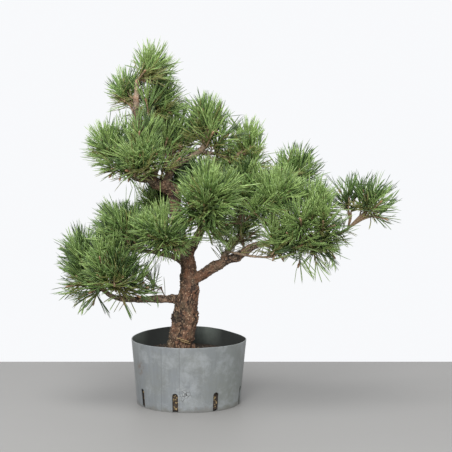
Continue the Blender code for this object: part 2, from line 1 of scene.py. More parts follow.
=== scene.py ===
"""Looks of a small pine trained in a cut-down nursery pot.

The limbs follow the same routes as the solids. Bark with real relief goes over trunk and boughs, and
every mass of needles is grown again from the limbs by the rule of the solids, carried on to finer
shoots with paired needles. Metres, +Z up, the viewer at -Y. Tables of places are in millimetres.
"""
import functools
import json
import math
import random

import bmesh
import bpy
import numpy as np
from mathutils import Matrix, Vector

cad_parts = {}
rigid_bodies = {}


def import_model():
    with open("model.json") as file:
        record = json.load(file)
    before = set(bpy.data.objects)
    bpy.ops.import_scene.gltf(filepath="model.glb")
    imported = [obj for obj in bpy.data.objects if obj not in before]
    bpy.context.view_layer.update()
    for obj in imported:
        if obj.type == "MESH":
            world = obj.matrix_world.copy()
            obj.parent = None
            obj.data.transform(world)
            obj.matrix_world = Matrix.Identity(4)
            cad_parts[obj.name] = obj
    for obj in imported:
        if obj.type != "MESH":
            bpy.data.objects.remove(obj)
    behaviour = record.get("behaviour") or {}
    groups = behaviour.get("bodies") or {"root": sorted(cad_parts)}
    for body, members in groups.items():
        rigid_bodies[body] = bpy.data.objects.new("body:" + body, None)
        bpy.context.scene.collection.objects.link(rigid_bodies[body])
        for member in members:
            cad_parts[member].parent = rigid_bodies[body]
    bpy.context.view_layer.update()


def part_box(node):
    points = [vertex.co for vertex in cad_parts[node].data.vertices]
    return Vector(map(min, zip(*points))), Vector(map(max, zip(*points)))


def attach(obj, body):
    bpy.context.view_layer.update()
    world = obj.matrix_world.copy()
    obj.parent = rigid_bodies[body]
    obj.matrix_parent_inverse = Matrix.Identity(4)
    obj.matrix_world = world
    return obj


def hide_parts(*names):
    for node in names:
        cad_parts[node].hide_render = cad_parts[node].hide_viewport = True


bl_info = {
    "name": "Potted Pine",
    "version": (1, 0, 0),
    "blender": (4, 5, 0),
    "location": "3D View > Sidebar > Potted Pine",
    "description": "Grows bark, shoots, needles and a weathered pot round the solids of a small pine",
    "category": "Add Mesh",
}

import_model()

MM = 0.001
UP = np.array((0.0, 0.0, 1.0))
ANY_WAY = (0.31, 0.77, 0.55)
GOLDEN_TURN = math.pi * (3 - math.sqrt(5))
PIECE_TRIANGLES = 195000
GROWTH_SEED = 11

# Pot, soil and slots, from the solids' boxes
POT_LOW, POT_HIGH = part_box("pot")
SOIL_LOW, SOIL_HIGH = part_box("soil")
POT_HEIGHT = POT_HIGH.z - POT_LOW.z
POT_RIM_RADIUS = 102.5 * MM
POT_FOOT_RADIUS = 92.5 * MM
POT_WALL = 1.8 * MM
POT_FLOOR = 2.5 * MM
SLOT_COUNT = 8
SLOT_WIDTH = 10.6 * MM
SLOT_HEIGHT = 34.5 * MM
SLOT_TURN = math.radians(31.4)
DENT_DEPTH = 7 * MM
DENT_TURN = math.radians(48)
DENT_SPREAD = math.radians(32)
CORNER_DEPTH = 2 * MM
CORNER_TURN = math.radians(6)
CORNER_SPREAD = math.radians(14)
SOIL_CLEARANCE = 1.1 * MM

# Trunk: places along its middle and its radius there
TRUNK_FOOT = SOIL_HIGH.z + 0.3 * MM
TRUNK = [
    ((-16, 0, TRUNK_FOOT / MM), 27.0), ((-12, -2, 118), 22.0), ((-6, -4, 150), 20.0),
    ((-4, -4, 175), 19.4), ((1, -1, 203), 16.7), ((1, 0, 232), 14.8), ((-1, 0, 254), 13.6),
    ((-10, 1, 290), 12.0), ((-21, 4, 325), 10.8), ((-24, 3, 358), 11.0), ((-26, 1, 379), 12.2),
    ((-41, -3, 391), 12.4), ((-61, -6, 398), 11.0), ((-75, -13, 422), 8.6), ((-80, -20, 462), 7.4),
    ((-88, -29, 507), 6.3), ((-90, -32, 542), 5.6), ((-89, -28, 573), 4.2),
]
FLARE_LOBES = 5
FLARE_DEPTH = 3.5 * MM
FLARE_HEIGHT = 32 * MM
FLARE_TURN = math.radians(200)

# Boughs: the limb each grows from, its radius at the root and at the tip, and the places it passes
BOUGHS = {
    "bough_low_left": ("trunk", 8.5, 4.0, [
        (-6, -2, 186), (-35, 9, 186), (-68, 11, 185), (-102, 0, 187), (-134, -10, 193), (-160, -8, 212)]),
    "bough_low_left_front": ("bough_low_left", 4.8, 3.4, [
        (-98, 0, 186), (-110, -20, 195), (-119, -35, 210)]),
    "bough_low_back": ("trunk", 7.0, 3.6, [(0, 0, 238), (-20, 26, 256), (-60, 54, 264), (-90, 72, 264)]),
    "bough_low_inner": ("bough_low_left", 2.6, 1.3, [(-36, 9, 186), (-44, 27, 190), (-48, 38, 196)]),
    "bough_left": ("trunk", 6.5, 3.6, [(-10, 1, 290), (-40, -14, 299), (-72, -27, 309), (-96, -33, 320)]),
    "bough_left_front": ("trunk", 6.0, 3.4, [
        (-3, 0, 262), (-14, -28, 274), (-26, -52, 290), (-30, -62, 298)]),
    "bough_right": ("trunk", 10.6, 2.4, [
        (3, 0, 218), (28, -8, 235), (49, -15, 250), (71, -19, 261), (94, -20, 271), (115, -14, 284),
        (145, -4, 291), (185, 0, 297), (236, 2, 302), (264, 1, 305), (281, 0, 311)]),
    "bough_right_front": ("bough_right", 3.4, 2.4, [
        (57, -17, 255), (62, -28, 271), (68, -36, 277), (86, -42, 276), (106, -46, 272), (130, -48, 270),
        (146, -49, 271)]),
    "bough_right_under": ("bough_right", 3.8, 2.6, [(188, 0, 297), (200, -8, 294), (210, -13, 290)]),
    "bough_right_outer": ("bough_right", 5.0, 3.2, [(145, -4, 291), (172, -20, 306), (196, -34, 328)]),
    "bough_low_far": ("bough_right", 4.4, 3.0, [(55, -19, 258), (70, 18, 268), (84, 50, 280)]),
    "bough_centre": ("trunk", 10.0, 3.6, [
        (-3, 0, 262), (14, 0, 297), (28, 0, 321), (42, 10, 343), (62, 20, 362), (102, 24, 372),
        (142, 22, 388), (164, 20, 402)]),
    "bough_centre_front": ("bough_centre", 5.6, 3.6, [(28, 0, 320), (35, -28, 331), (36, -56, 346)]),
    "bough_centre_back": ("bough_centre", 5.6, 3.6, [(34, 4, 331), (38, 34, 340), (41, 60, 354)]),
    "bough_middle": ("bough_centre", 4.6, 3.2, [(56, 17, 357), (70, 0, 362), (82, -9, 372)]),
    "bough_middle_right": ("bough_centre", 4.8, 3.2, [(98, 24, 371), (117, 0, 366), (136, -24, 364)]),
    "bough_far_right_back": ("bough_centre", 4.8, 3.2, [(84, 22, 368), (104, 48, 364), (128, 70, 362)]),
    "bough_upper": ("trunk", 8.0, 4.6, [
        (-40, -3, 391), (-28, -12, 421), (-4, -17, 439), (20, -20, 453), (32, -20, 470)]),
    "bough_upper_right": ("bough_upper", 4.2, 3.0, [(20, -20, 453), (48, -15, 449), (78, -6, 440)]),
    "bough_upper_middle": ("bough_upper", 4.2, 3.0, [(-26, -12, 423), (-28, -1, 438), (-28, 4, 450)]),
    "bough_upper_left": ("trunk", 6.5, 3.6, [
        (-66, -8, 402), (-86, -20, 405), (-103, -26, 414), (-117, -28, 430)]),
    "bough_shelf": ("trunk", 5.0, 3.2, [(-58, -5, 396), (-66, -26, 400), (-73, -39, 410)]),
    "bough_top_left": ("trunk", 3.4, 2.4, [(-87, -29, 507), (-98, -17, 528), (-105, -10, 539)]),
    "bough_top_right": ("trunk", 3.8, 2.6, [(-83, -25, 490), (-72, -8, 503), (-64, 0, 513)]),
    "bough_behind": ("trunk", 4.6, 3.0, [(-20, 4, 318), (-32, 28, 323), (-42, 45, 330)]),
    "bough_upper_back": ("trunk", 6.0, 3.6, [(-71, -10, 408), (-74, 26, 420), (-72, 54, 436)]),
}
BOUGH_TAPER = 1.15

# Masses of needles: the limb that carries each, its middle, and its reach along X, Y and Z
MASSES = {
    "needles_apex": ("trunk", (-63, -20, 596), (46, 46, 50)),
    "needles_top_left": ("bough_top_left", (-113, 0, 561), (32, 38, 40)),
    "needles_top_right": ("bough_top_right", (-45, 15, 540), (42, 42, 44)),
    "needles_upper_left": ("bough_upper_left", (-140, -30, 461), (43, 50, 52)),
    "needles_shelf": ("bough_shelf", (-86, -60, 442), (46, 44, 50)),
    "needles_upper_middle": ("bough_upper_middle", (-27, 10, 477), (42, 46, 48)),
    "needles_shoulder": ("bough_upper", (35, -20, 512), (38, 42, 47)),
    "needles_upper_right": ("bough_upper_right", (105, 0, 467), (35, 42, 47)),
    "needles_centre": ("bough_centre_front", (38, -100, 384), (58, 50, 66)),
    "needles_middle": ("bough_middle", (97, -20, 396), (44, 46, 58)),
    "needles_crown_right": ("bough_centre", (195, 20, 420), (48, 46, 46)),
    "needles_middle_right": ("bough_middle_right", (158, -50, 376), (46, 46, 56)),
    "needles_right_outer": ("bough_right_outer", (222, -50, 357), (46, 50, 52)),
    "needles_right_low": ("bough_right_front", (162, -50, 294), (52, 42, 43)),
    "needles_right_under": ("bough_right_under", (234, -20, 290), (46, 46, 42)),
    "needles_far_right": ("bough_right", (323, 0, 359), (55, 50, 56)),
    "needles_left_front": ("bough_left_front", (-42, -90, 323), (57, 44, 54)),
    "needles_left": ("bough_left", (-123, -40, 331), (47, 46, 46)),
    "needles_low_left_tip": ("bough_low_left", (-189, 0, 265), (46, 50, 57)),
    "needles_low_left": ("bough_low_left_front", (-130, -50, 249), (58, 46, 62)),
    "needles_low_inner": ("bough_low_inner", (-53, 50, 218), (38, 36, 46)),
    "needles_behind": ("bough_behind", (-56, 70, 350), (46, 42, 44)),
    "needles_centre_back": ("bough_centre_back", (43, 100, 384), (64, 50, 58)),
    "needles_right_back": ("bough_far_right_back", (160, 100, 369), (62, 50, 55)),
    "needles_left_back": ("bough_low_back", (-119, 90, 285), (62, 50, 55)),
    "needles_upper_back": ("bough_upper_back", (-71, 90, 463), (60, 50, 56)),
    "needles_low_back": ("bough_low_far", (98, 90, 300), (42, 42, 42)),
}
CROWN_FULLNESS = 1.06
STEM_SHARE = 0.3
SHOOT_FIRST_SHARE = 0.35
SHOOT_TURN_SPREAD = 0.4
SHOOT_LIFT = 0.35
SHOOT_TIP_LIFT = 0.15

# Shoots that show from the front: for each mass the places of the foot and of the tip of each
SEEN_SHOOTS = {
    "needles_low_back": [
        (81, 50, 285, 67, 36, 305), (92, 56, 286, 94, 48, 313), (103, 50, 287, 123, 40, 305),
        (76, 48, 282, 53, 30, 292), (98, 52, 283, 110, 20, 291)],
    "needles_apex": [
        (-76, -27, 576, -64, -24, 595), (-85, -28, 582, -78, -24, 604), (-66, -14, 572, -49, -8, 581),
        (-67, -5, 575, -57, 8, 596), (-87, -34, 580, -75, -50, 595)],
    "needles_top_left": [
        (-95, -12, 533, -107, -6, 559), (-97, -14, 530, -114, -14, 544), (-99, -2, 536, -114, 14, 558)],
    "needles_top_right": [
        (-67, 0, 522, -55, 2, 555), (-60, 6, 514, -38, 12, 539), (-68, 14, 517, -58, 34, 544),
        (-74, -8, 522, -61, -28, 541), (-53, 4, 507, -35, -6, 519), (-68, -34, 510, -72, -46, 543)],
    "needles_upper_left": [
        (-133, -30, 440, -150, -32, 471), (-119, -34, 426, -143, -44, 443),
        (-93, -36, 408, -93, -62, 437), (-118, -24, 435, -125, -18, 469),
        (-106, -22, 446, -107, -16, 481), (-123, -20, 432, -145, 0, 455),
        (-112, -28, 422, -130, -50, 426), (-123, -30, 425, -135, -42, 414),
        (-98, -34, 419, -103, -46, 408), (-112, -32, 422, -118, -52, 410)],
    "needles_shelf": [
        (-80, -45, 420, -82, -68, 447), (-70, -45, 423, -56, -66, 450), (-84, -45, 413, -103, -70, 424),
        (-87, -44, 458, -84, -58, 488), (-71, -46, 441, -69, -52, 484)],
    "needles_upper_middle": [
        (-50, -6, 430, -37, -20, 474), (-50, 6, 454, -46, 8, 500), (-29, 6, 454, -14, 6, 493),
        (-22, 0, 444, 3, -4, 474), (-43, 14, 443, -30, 36, 476), (-48, -24, 407, -38, -44, 437),
        (-39, -18, 417, -17, -30, 440), (-56, -34, 412, -60, -56, 435)],
    "needles_shoulder": [
        (28, -20, 463, 27, -22, 523), (35, -18, 463, 51, -16, 502), (32, -24, 460, 43, -44, 486),
        (26, -16, 467, 14, -10, 501), (32, -10, 463, 35, 10, 500), (42, -18, 456, 65, -18, 479)],
    "needles_upper_right": [
        (111, 0, 407, 108, -4, 476), (106, 4, 415, 92, 2, 449), (115, -2, 416, 125, -4, 451),
        (99, 0, 412, 76, -8, 432), (110, 6, 426, 113, 26, 452), (49, -4, 437, 51, -14, 463),
        (60, 0, 437, 72, 6, 456), (49, -4, 437, 44, -14, 415)],
    "needles_centre": [
        (27, -66, 331, 29, -104, 367), (30, -74, 353, 39, -104, 393), (32, -70, 363, 32, -82, 406),
        (22, -66, 348, 5, -96, 369), (39, -64, 348, 62, -92, 376), (32, -66, 334, 46, -100, 342),
        (27, -78, 350, 29, -106, 341), (36, -74, 360, 45, -104, 360), (15, -66, 352, 8, -90, 344),
        (3, 20, 367, -13, 24, 402), (13, 16, 374, 3, 20, 413), (-5, 24, 370, -22, 30, 391),
        (32, -60, 337, 37, -82, 321), (29, -56, 340, 44, -66, 313), (27, -60, 334, 22, -88, 323),
        (18, -60, 348, -1, -76, 362), (18, -50, 343, 2, -64, 336), (46, -60, 379, 77, -76, 399)],
    "needles_middle": [
        (88, -14, 328, 95, -34, 366), (92, -10, 342, 85, -14, 385), (99, -6, 352, 113, -14, 396),
        (92, -12, 338, 69, -26, 368), (99, -20, 329, 116, -50, 350), (92, -18, 325, 71, -44, 328)],
    "needles_crown_right": [
        (192, 14, 389, 197, 12, 416), (195, 14, 385, 213, 10, 405), (172, 10, 382, 168, 6, 415),
        (181, 20, 385, 183, 36, 410)],
    "needles_middle_right": [
        (148, -30, 330, 147, -56, 372), (141, -28, 344, 130, -38, 384), (155, -28, 351, 169, -40, 388),
        (141, -30, 323, 119, -58, 347)],
    "needles_right_outer": [
        (202, -44, 307, 196, -82, 340), (236, -40, 310, 240, -62, 341), (208, -38, 334, 214, -46, 378),
        (225, -36, 338, 232, -40, 374), (194, -40, 324, 172, -62, 351), (199, -50, 315, 197, -90, 339),
        (236, -44, 314, 236, -78, 336), (216, -46, 318, 217, -74, 346), (208, -46, 314, 182, -70, 328),
        (229, -44, 314, 253, -56, 326)],
    "needles_right_low": [
        (155, -50, 285, 146, -66, 306), (176, -50, 283, 197, -62, 292), (190, -50, 288, 175, -72, 314),
        (169, -44, 284, 173, -30, 303), (165, -50, 285, 161, -60, 316)],
    "needles_right_under": [
        (209, -16, 285, 211, -44, 291), (230, -12, 288, 234, -40, 296), (252, -8, 295, 261, -26, 303),
        (191, -18, 280, 185, -46, 286), (213, -8, 288, 231, 10, 300), (219, -20, 279, 226, -30, 259),
        (244, -16, 285, 258, -24, 268), (198, -22, 275, 196, -34, 256)],
    "needles_far_right": [
        (284, -4, 341, 285, -6, 379), (286, 2, 344, 271, 4, 378), (289, -2, 344, 298, 2, 374),
        (316, -2, 341, 330, -4, 371), (323, 0, 337, 348, -2, 348), (316, 6, 338, 326, 24, 363),
        (325, -4, 336, 349, -12, 333), (319, -6, 339, 339, -22, 363), (305, 2, 337, 311, 6, 367),
        (316, -4, 343, 318, -16, 374)],
    "needles_left_front": [
        (-38, -64, 290, -36, -104, 312), (-45, -62, 295, -65, -94, 313), (-35, -60, 298, -15, -90, 308),
        (-50, -60, 290, -62, -78, 318), (-35, -62, 288, -21, -96, 289), (-42, -62, 288, -58, -94, 289),
        (-34, -62, 309, -18, -92, 299), (-43, -62, 306, -48, -90, 292), (-28, -58, 312, -6, -84, 302)],
    "needles_left": [
        (-100, -40, 285, -115, -58, 319), (-95, -36, 291, -95, -42, 335), (-81, -44, 280, -78, -70, 310),
        (-106, -36, 284, -137, -48, 307), (-110, -30, 298, -127, -28, 333),
        (-88, -36, 291, -74, -44, 328)],
    "needles_low_left_tip": [
        (-168, -8, 210, -192, -12, 260), (-163, -4, 213, -174, 0, 265), (-172, -8, 208, -196, -14, 229),
        (-176, -2, 209, -206, 4, 243), (-166, 6, 212, -184, 22, 251), (-172, -8, 205, -191, -14, 193),
        (-183, -6, 212, -211, -10, 212), (-161, -8, 203, -168, -20, 185)],
    "needles_low_left": [
        (-128, -36, 206, -125, -52, 255), (-138, -36, 213, -153, -52, 265),
        (-121, -34, 205, -105, -48, 251), (-114, -30, 201, -88, -44, 225),
        (-135, -36, 209, -157, -62, 238), (-124, -40, 228, -133, -48, 290),
        (-124, -36, 209, -115, -66, 235), (-100, -30, 210, -81, -46, 223),
        (-107, -28, 203, -88, -46, 200), (-121, -30, 201, -113, -48, 188),
        (-150, -18, 208, -170, -38, 206), (-93, -20, 201, -75, -30, 212)],
    "needles_low_inner": [
        (-50, 36, 198, -62, 40, 208), (-54, 40, 197, -74, 30, 224), (-58, 14, 194, -64, -10, 206)],
}

# What the scene adds to the rule of the solids: more and finer shoots, and needles along them
SHOOT_LENGTH = 40 * MM
REAR_SHOOTS = 5
REAR_FROM = -0.1
HIDDEN_SHOOTS = 12
FINE_SPREAD = math.radians(112)
TIP_INSET = 35 * MM
REACH_SLACK = (1.08, 0.09)
# How many of the needles each part carries
REAR_DENSITY = 0.9
LOW_DENSITY = 0.3
LOW_LEVEL = 204 * MM
SPARSE_MASSES = {
    "needles_low_inner": 0.5, "needles_low_back": 0.6, "needles_right_under": 0.5,
    "needles_right_outer": 0.75, "needles_right_low": 0.7, "needles_far_right": 0.62,
    "needles_upper_right": 0.8, "needles_top_left": 0.85, "needles_upper_left": 0.8,
    "needles_upper_middle": 0.8, "needles_shoulder": 0.85, "needles_top_right": 0.85,
    "needles_apex": 0.85, "needles_crown_right": 0.85}
# Masses whose shoots fork off sooner, and masses with few shoots at the back
STEM_SHARES = {"needles_far_right": 0.06}
FEW_BEHIND = {"needles_low_inner": 0, "needles_far_right": 2, "needles_upper_right": 3}
# Where the sky shows through from the front: middle and reach along X and Z, seen at Y = 0
OPEN_SKY = [
    ((-25, 352), (9, 26)), ((29, 262), (20, 22)), ((5, 309), (10, 10)), ((-45, 222), (32, 25)),
    ((128, 246), (46, 17)), ((-119, 380), (32, 11))]
OPEN_SKY_KEPT = 0.10
STRAY_MASSES = ("needles_low_inner",)

# Room for needles on the boughs between the masses: middle and reach
BOUGH_REACH = [
    ((-86, -48, 484), (34, 34, 42)), ((-68, -30, 522), (34, 38, 46)), ((-39, -15, 426), (38, 42, 34)),
    ((-100, -20, 184), (64, 48, 30)), ((-50, 20, 218), (40, 60, 42)), ((64, 0, 306), (48, 80, 34)),
    ((-10, 15, 400), (44, 50, 44)), ((50, -10, 448), (48, 40, 36)), ((200, -60, 318), (48, 50, 42)),
    ((236, -48, 318), (40, 50, 42)), ((215, -25, 258), (54, 42, 40)), ((322, -10, 322), (42, 40, 34)),
    ((-180, -12, 200), (54, 44, 40)), ((290, -2, 362), (48, 46, 50))]

# The viewer
CAMERA_PLACE = (0.067, -3.5, 0.766)


class PineSizes(bpy.types.PropertyGroup):
    """Sizes of the fine parts."""

    needle_length: bpy.props.FloatProperty(
        name="Needle length", description="Length of a full-grown needle",
        default=0.0455, min=0.02, max=0.08, unit="LENGTH")
    needle_width: bpy.props.FloatProperty(
        name="Needle width", description="Width of a needle across its flat side",
        default=0.00132, min=0.0005, max=0.003, unit="LENGTH")
    needle_spacing: bpy.props.FloatProperty(
        name="Pair spacing", description="Distance along a shoot from one pair of needles to the next",
        default=0.00052, min=0.0001, max=0.005, unit="LENGTH")
    bark_grid: bpy.props.FloatProperty(
        name="Bark grid", description="Size of the grid that trunk and boughs are joined on",
        default=0.0013, min=0.0008, max=0.004, unit="LENGTH")
    bark_relief: bpy.props.FloatProperty(
        name="Bark relief", description="Depth of the cracks between bark plates on the lower trunk",
        default=0.0024, min=0.0, max=0.006, unit="LENGTH")
    plate_size: bpy.props.FloatProperty(
        name="Plate size", description="Width of one bark plate",
        default=0.0066, min=0.002, max=0.03, unit="LENGTH")
    bud_length: bpy.props.FloatProperty(
        name="Bud length", description="Length of the bud at the tip of a shoot",
        default=0.009, min=0.002, max=0.02, unit="LENGTH")


class PineColours(bpy.types.PropertyGroup):
    """Colours of the finishes."""

    # Fresh, green and deep needles are dealt by place: painted light in front, on top and to the right over
    # some real fresh growth, and painted shade deep inside
    fresh: bpy.props.FloatVectorProperty(
        name="Fresh needles", description="Needles of this year's strongest shoots",
        default=(0.272, 0.392, 0.120), subtype="COLOR", min=0.0, max=1.0)
    green: bpy.props.FloatVectorProperty(
        name="Green needles", description="Most needles",
        default=(0.160, 0.262, 0.074), subtype="COLOR", min=0.0, max=1.0)
    deep: bpy.props.FloatVectorProperty(
        name="Deep needles", description="Needles inside and behind",
        default=(0.066, 0.116, 0.035), subtype="COLOR", min=0.0, max=1.0)
    old: bpy.props.FloatVectorProperty(
        name="Old needles", description="Last year's needles near the foot of each shoot",
        default=(0.215, 0.225, 0.070), subtype="COLOR", min=0.0, max=1.0)
    bark: bpy.props.FloatVectorProperty(
        name="Bark", description="Face of the bark plates",
        default=(0.112, 0.052, 0.029), subtype="COLOR", min=0.0, max=1.0)
    bark_flake: bpy.props.FloatVectorProperty(
        name="Bark flakes", description="Weathered grey edges of the plates",
        default=(0.275, 0.195, 0.130), subtype="COLOR", min=0.0, max=1.0)
    bark_rust: bpy.props.FloatVectorProperty(
        name="Fresh bark", description="Orange-brown bark where flakes have come off",
        default=(0.210, 0.092, 0.044), subtype="COLOR", min=0.0, max=1.0)
    bark_young: bpy.props.FloatVectorProperty(
        name="Young bark", description="Smoother, paler bark of the thin limbs",
        default=(0.345, 0.268, 0.190), subtype="COLOR", min=0.0, max=1.0)
    # The crack colour is partly the darker bark deep in the cracks and partly painted shade
    bark_crack: bpy.props.FloatVectorProperty(
        name="Bark cracks", description="Deep cracks between the plates",
        default=(0.020, 0.012, 0.008), subtype="COLOR", min=0.0, max=1.0)
    twig: bpy.props.FloatVectorProperty(
        name="Twigs", description="Bark of the young shoots",
        default=(0.230, 0.155, 0.090), subtype="COLOR", min=0.0, max=1.0)
    bud: bpy.props.FloatVectorProperty(
        name="Buds", description="Scales of the buds",
        default=(0.270, 0.150, 0.070), subtype="COLOR", min=0.0, max=1.0)
    pot: bpy.props.FloatVectorProperty(
        name="Pot", description="Weathered plastic of the pot",
        default=(0.180, 0.194, 0.202), subtype="COLOR", min=0.0, max=1.0)
    soil: bpy.props.FloatVectorProperty(
        name="Soil", description="Moist potting soil",
        default=(0.034, 0.024, 0.017), subtype="COLOR", min=0.0, max=1.0)
    floor: bpy.props.FloatVectorProperty(
        name="Floor", description="Pale floor that the pot stands on",
        default=(0.195, 0.192, 0.186), subtype="COLOR", min=0.0, max=1.0)


def sizes():
    """The sizes in use."""
    return bpy.context.scene.pine_sizes


def colours():
    """The colours in use."""
    return bpy.context.scene.pine_colours


# Arrays and noise

def rng_for(*words):
    """A random source of its own for one job, the same each run."""
    return random.Random(f"{GROWTH_SEED} " + " ".join(str(word) for word in words))


def unit(vectors):
    """Vectors scaled to length one."""
    return vectors / np.maximum(np.linalg.norm(vectors, axis=-1, keepdims=True), 1e-12)


def hashed(cells, salt):
    """A number from 0 to 1 for each whole-number place."""
    mixed = (cells[..., 0].astype(np.int64) * 73856093) ^ (cells[..., 1].astype(np.int64) * 19349663)
    mixed ^= (cells[..., 2].astype(np.int64) * 83492791) ^ (salt * 2654435761)
    mixed = (mixed ^ (mixed >> 13)) * 1274126177
    mixed = (mixed ^ (mixed >> 16)) & 0xFFFFFF
    return mixed / float(0xFFFFFF)


def soft_noise(places, salt):
    """Smooth noise from 0 to 1, with features about one unit across."""
    cell = np.floor(places).astype(np.int64)
    t = places - cell
    t = t * t * (3 - 2 * t)
    total = np.zeros(len(places))
    for corner in np.ndindex(2, 2, 2):
        share = np.ones(len(places))
        for axis in range(3):
            share *= t[:, axis] if corner[axis] else 1 - t[:, axis]
        total += share * hashed(cell + np.array(corner), salt)
    return total


def plate_noise(places, salt):
    """For cells about one unit across: distance from the edge, a number of each cell's own, and how
    far above the cell's middle the place lies along the third axis."""
    cell = np.floor(places).astype(np.int64)
    near = np.full(len(places), 9.0)
    second = np.full(len(places), 9.0)
    tint = np.zeros(len(places))
    lean = np.zeros(len(places))
    for offset in np.ndindex(3, 3, 3):
        other = cell + np.array(offset) - 1
        away = places - other - np.stack([hashed(other, salt + axis) for axis in range(3)], axis=-1)
        gap = np.linalg.norm(away, axis=-1)
        closer = gap < near
        second = np.where(closer, near, np.minimum(second, gap))
        tint = np.where(closer, hashed(other, salt + 7), tint)
        lean = np.where(closer, away[:, 2], lean)
        near = np.where(closer, gap, near)
    return second - near, tint, lean


def ramp(values, low, high):
    """0 below low, 1 above high and smooth between."""
    t = np.clip((values - low) / (high - low), 0, 1)
    return t * t * (3 - 2 * t)


def smooth_run(values, steps):
    """Values along a smooth curve through the given ones, with steps between each two."""
    values = np.asarray(values, float)
    last = len(values) - 1
    run = []
    for index in range(last):
        before, start = values[max(index - 1, 0)], values[index]
        end, after = values[index + 1], values[min(index + 2, last)]
        for step in range(steps):
            t = step / steps
            run.append(0.5 * (2 * start + (end - before) * t
                              + (2 * before - 5 * start + 4 * end - after) * t ** 2
                              + (3 * start - before - 3 * end + after) * t ** 3))
    run.append(values[last])
    return np.array(run)


# Meshes from arrays

def mesh_from_arrays(name, places, face_groups):
    """A mesh from places and groups of faces, each group with one number of corners."""
    mesh = bpy.data.meshes.new(name)
    mesh.vertices.add(len(places))
    mesh.vertices.foreach_set("co", np.asarray(places, np.float32).ravel())
    corners = np.concatenate([group.ravel() for group in face_groups]).astype(np.int32)
    counts = np.concatenate([np.full(len(group), group.shape[1]) for group in face_groups])
    starts = np.concatenate([[0], np.cumsum(counts)[:-1]]).astype(np.int32)
    mesh.loops.add(len(corners))
    mesh.loops.foreach_set("vertex_index", corners)
    mesh.polygons.add(len(counts))
    mesh.polygons.foreach_set("loop_start", starts)
    mesh.update(calc_edges=True)
    mesh.shade_smooth()
    return mesh


def add_piece(name, mesh, material, nodes=()):
    """A piece that rides on the plant, with its finish and the solids that it stands for."""
    piece = bpy.data.objects.new(name, mesh)
    bpy.context.scene.collection.objects.link(piece)
    mesh.materials.append(material)
    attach(piece, "root")
    if nodes:
        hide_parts(*nodes)
    return piece


def ring_faces(rings, sides):
    """Faces over a row of rings, closed at each end by a place that comes after them."""
    ring = np.arange(sides)
    after = (ring + 1) % sides
    row = np.arange(rings - 1)[:, None] * sides
    quads = np.stack([row + ring, row + after, row + sides + after, row + sides + ring], axis=2)
    first, last = rings * sides, (rings - 1) * sides
    foot = np.stack([np.full(sides, first), after, ring], axis=1)
    tip = np.stack([np.full(sides, first + 1), last + ring, last + after], axis=1)
    return quads.reshape(-1, 4), np.concatenate([foot, tip])


def tube_arrays(route, radii, sides):
    """Places and faces of a tube along a route, closed by a point at each end."""
    route = np.asarray(route, float)
    ways = unit(np.gradient(route, axis=0))
    side = unit(np.cross(ways[0], ANY_WAY))
    turns = np.arange(sides) * math.tau / sides
    rings = []
    for place, way, radius in zip(route, ways, radii):
        side = unit(side - way * np.dot(side, way))
        other = np.cross(way, side)
        rings.append(place + radius * (np.outer(np.cos(turns), side) + np.outer(np.sin(turns), other)))
    return np.concatenate(rings + [route[:1], route[-1:]]), *ring_faces(len(route), sides)


class Joined:
    """Shapes gathered into one mesh."""

    def __init__(self):
        self.places = []
        self.quads = []
        self.triangles = []
        self.count = 0

    def add(self, places, quads, triangles):
        """Gather one more shape."""
        self.places.append(places)
        self.quads.append(quads + self.count)
        self.triangles.append(triangles + self.count)
        self.count += len(places)

    def mesh(self, name):
        """All shapes as one mesh."""
        groups = [np.concatenate(group) for group in (self.quads, self.triangles) if group]
        return mesh_from_arrays(name, np.concatenate(self.places), [g for g in groups if len(g)])


# Limbs

PLATE_STRETCH = 1.45
FULL_GIRTH = 18 * MM


def plate_width(radius):
    """Width of the bark plates on a limb of that radius."""
    return sizes().plate_size * (0.5 + 0.5 * np.clip(radius / FULL_GIRTH, 0.15, 1.1))


class Limb:
    """The trunk or a bough: a fine route along its middle, and its radius there."""

    def __init__(self, name, route, radii):
        self.name = name
        self.route = route
        self.radii = radii

    def tip(self):
        """The end of the limb and the way it points there."""
        return self.route[-1], unit(self.route[-1] - self.route[-2])

    def nearest(self, place):
        """The place on the limb's middle line that lies nearest."""
        starts, runs = self.route[:-1], np.diff(self.route, axis=0)
        along = np.clip(((place - starts) * runs).sum(1) / (runs * runs).sum(1), 0, 1)
        spots = starts + runs * along[:, None]
        return spots[np.argmin(np.linalg.norm(spots - place, axis=1))]


@functools.lru_cache
def all_limbs():
    """The trunk and every bough."""
    steps = 4
    route = smooth_run([np.array(place, float) * MM for place, _ in TRUNK], steps)
    radii = smooth_run([radius * MM for _, radius in TRUNK], steps)
    limbs = {"trunk": Limb("trunk", route, radii)}
    for name, (parent, root_radius, tip_radius, places) in BOUGHS.items():
        points = np.array(places, float) * MM
        points[0] = limbs[parent].nearest(points[0])
        route = smooth_run(points, steps)
        share = (1 - np.linspace(0, 1, len(route))) ** BOUGH_TAPER
        radii = (tip_radius + (root_radius - tip_radius) * share) * MM
        limbs[name] = Limb(name, route, radii)
    return limbs


@functools.lru_cache
def limb_runs():
    """Every straight run of every limb, with what the bark needs to follow it.

    Columns: start, run, radius at each end, a side direction, then how many plates come before it
    along the limb and how many lie along it.
    """
    rows = []
    for number, limb in enumerate(all_limbs().values()):
        plates = 31.7 * number
        side = np.array(ANY_WAY)
        for index in range(len(limb.route) - 1):
            run = limb.route[index + 1] - limb.route[index]
            length = np.linalg.norm(run)
            side = unit(side - run * (side @ run) / length ** 2)
            radius, after = limb.radii[index:index + 2]
            along = length / plate_width((radius + after) / 2) / PLATE_STRETCH
            rows.append((*limb.route[index], *run, radius, after, *side, plates, along))
            plates += along
    return np.array(rows)


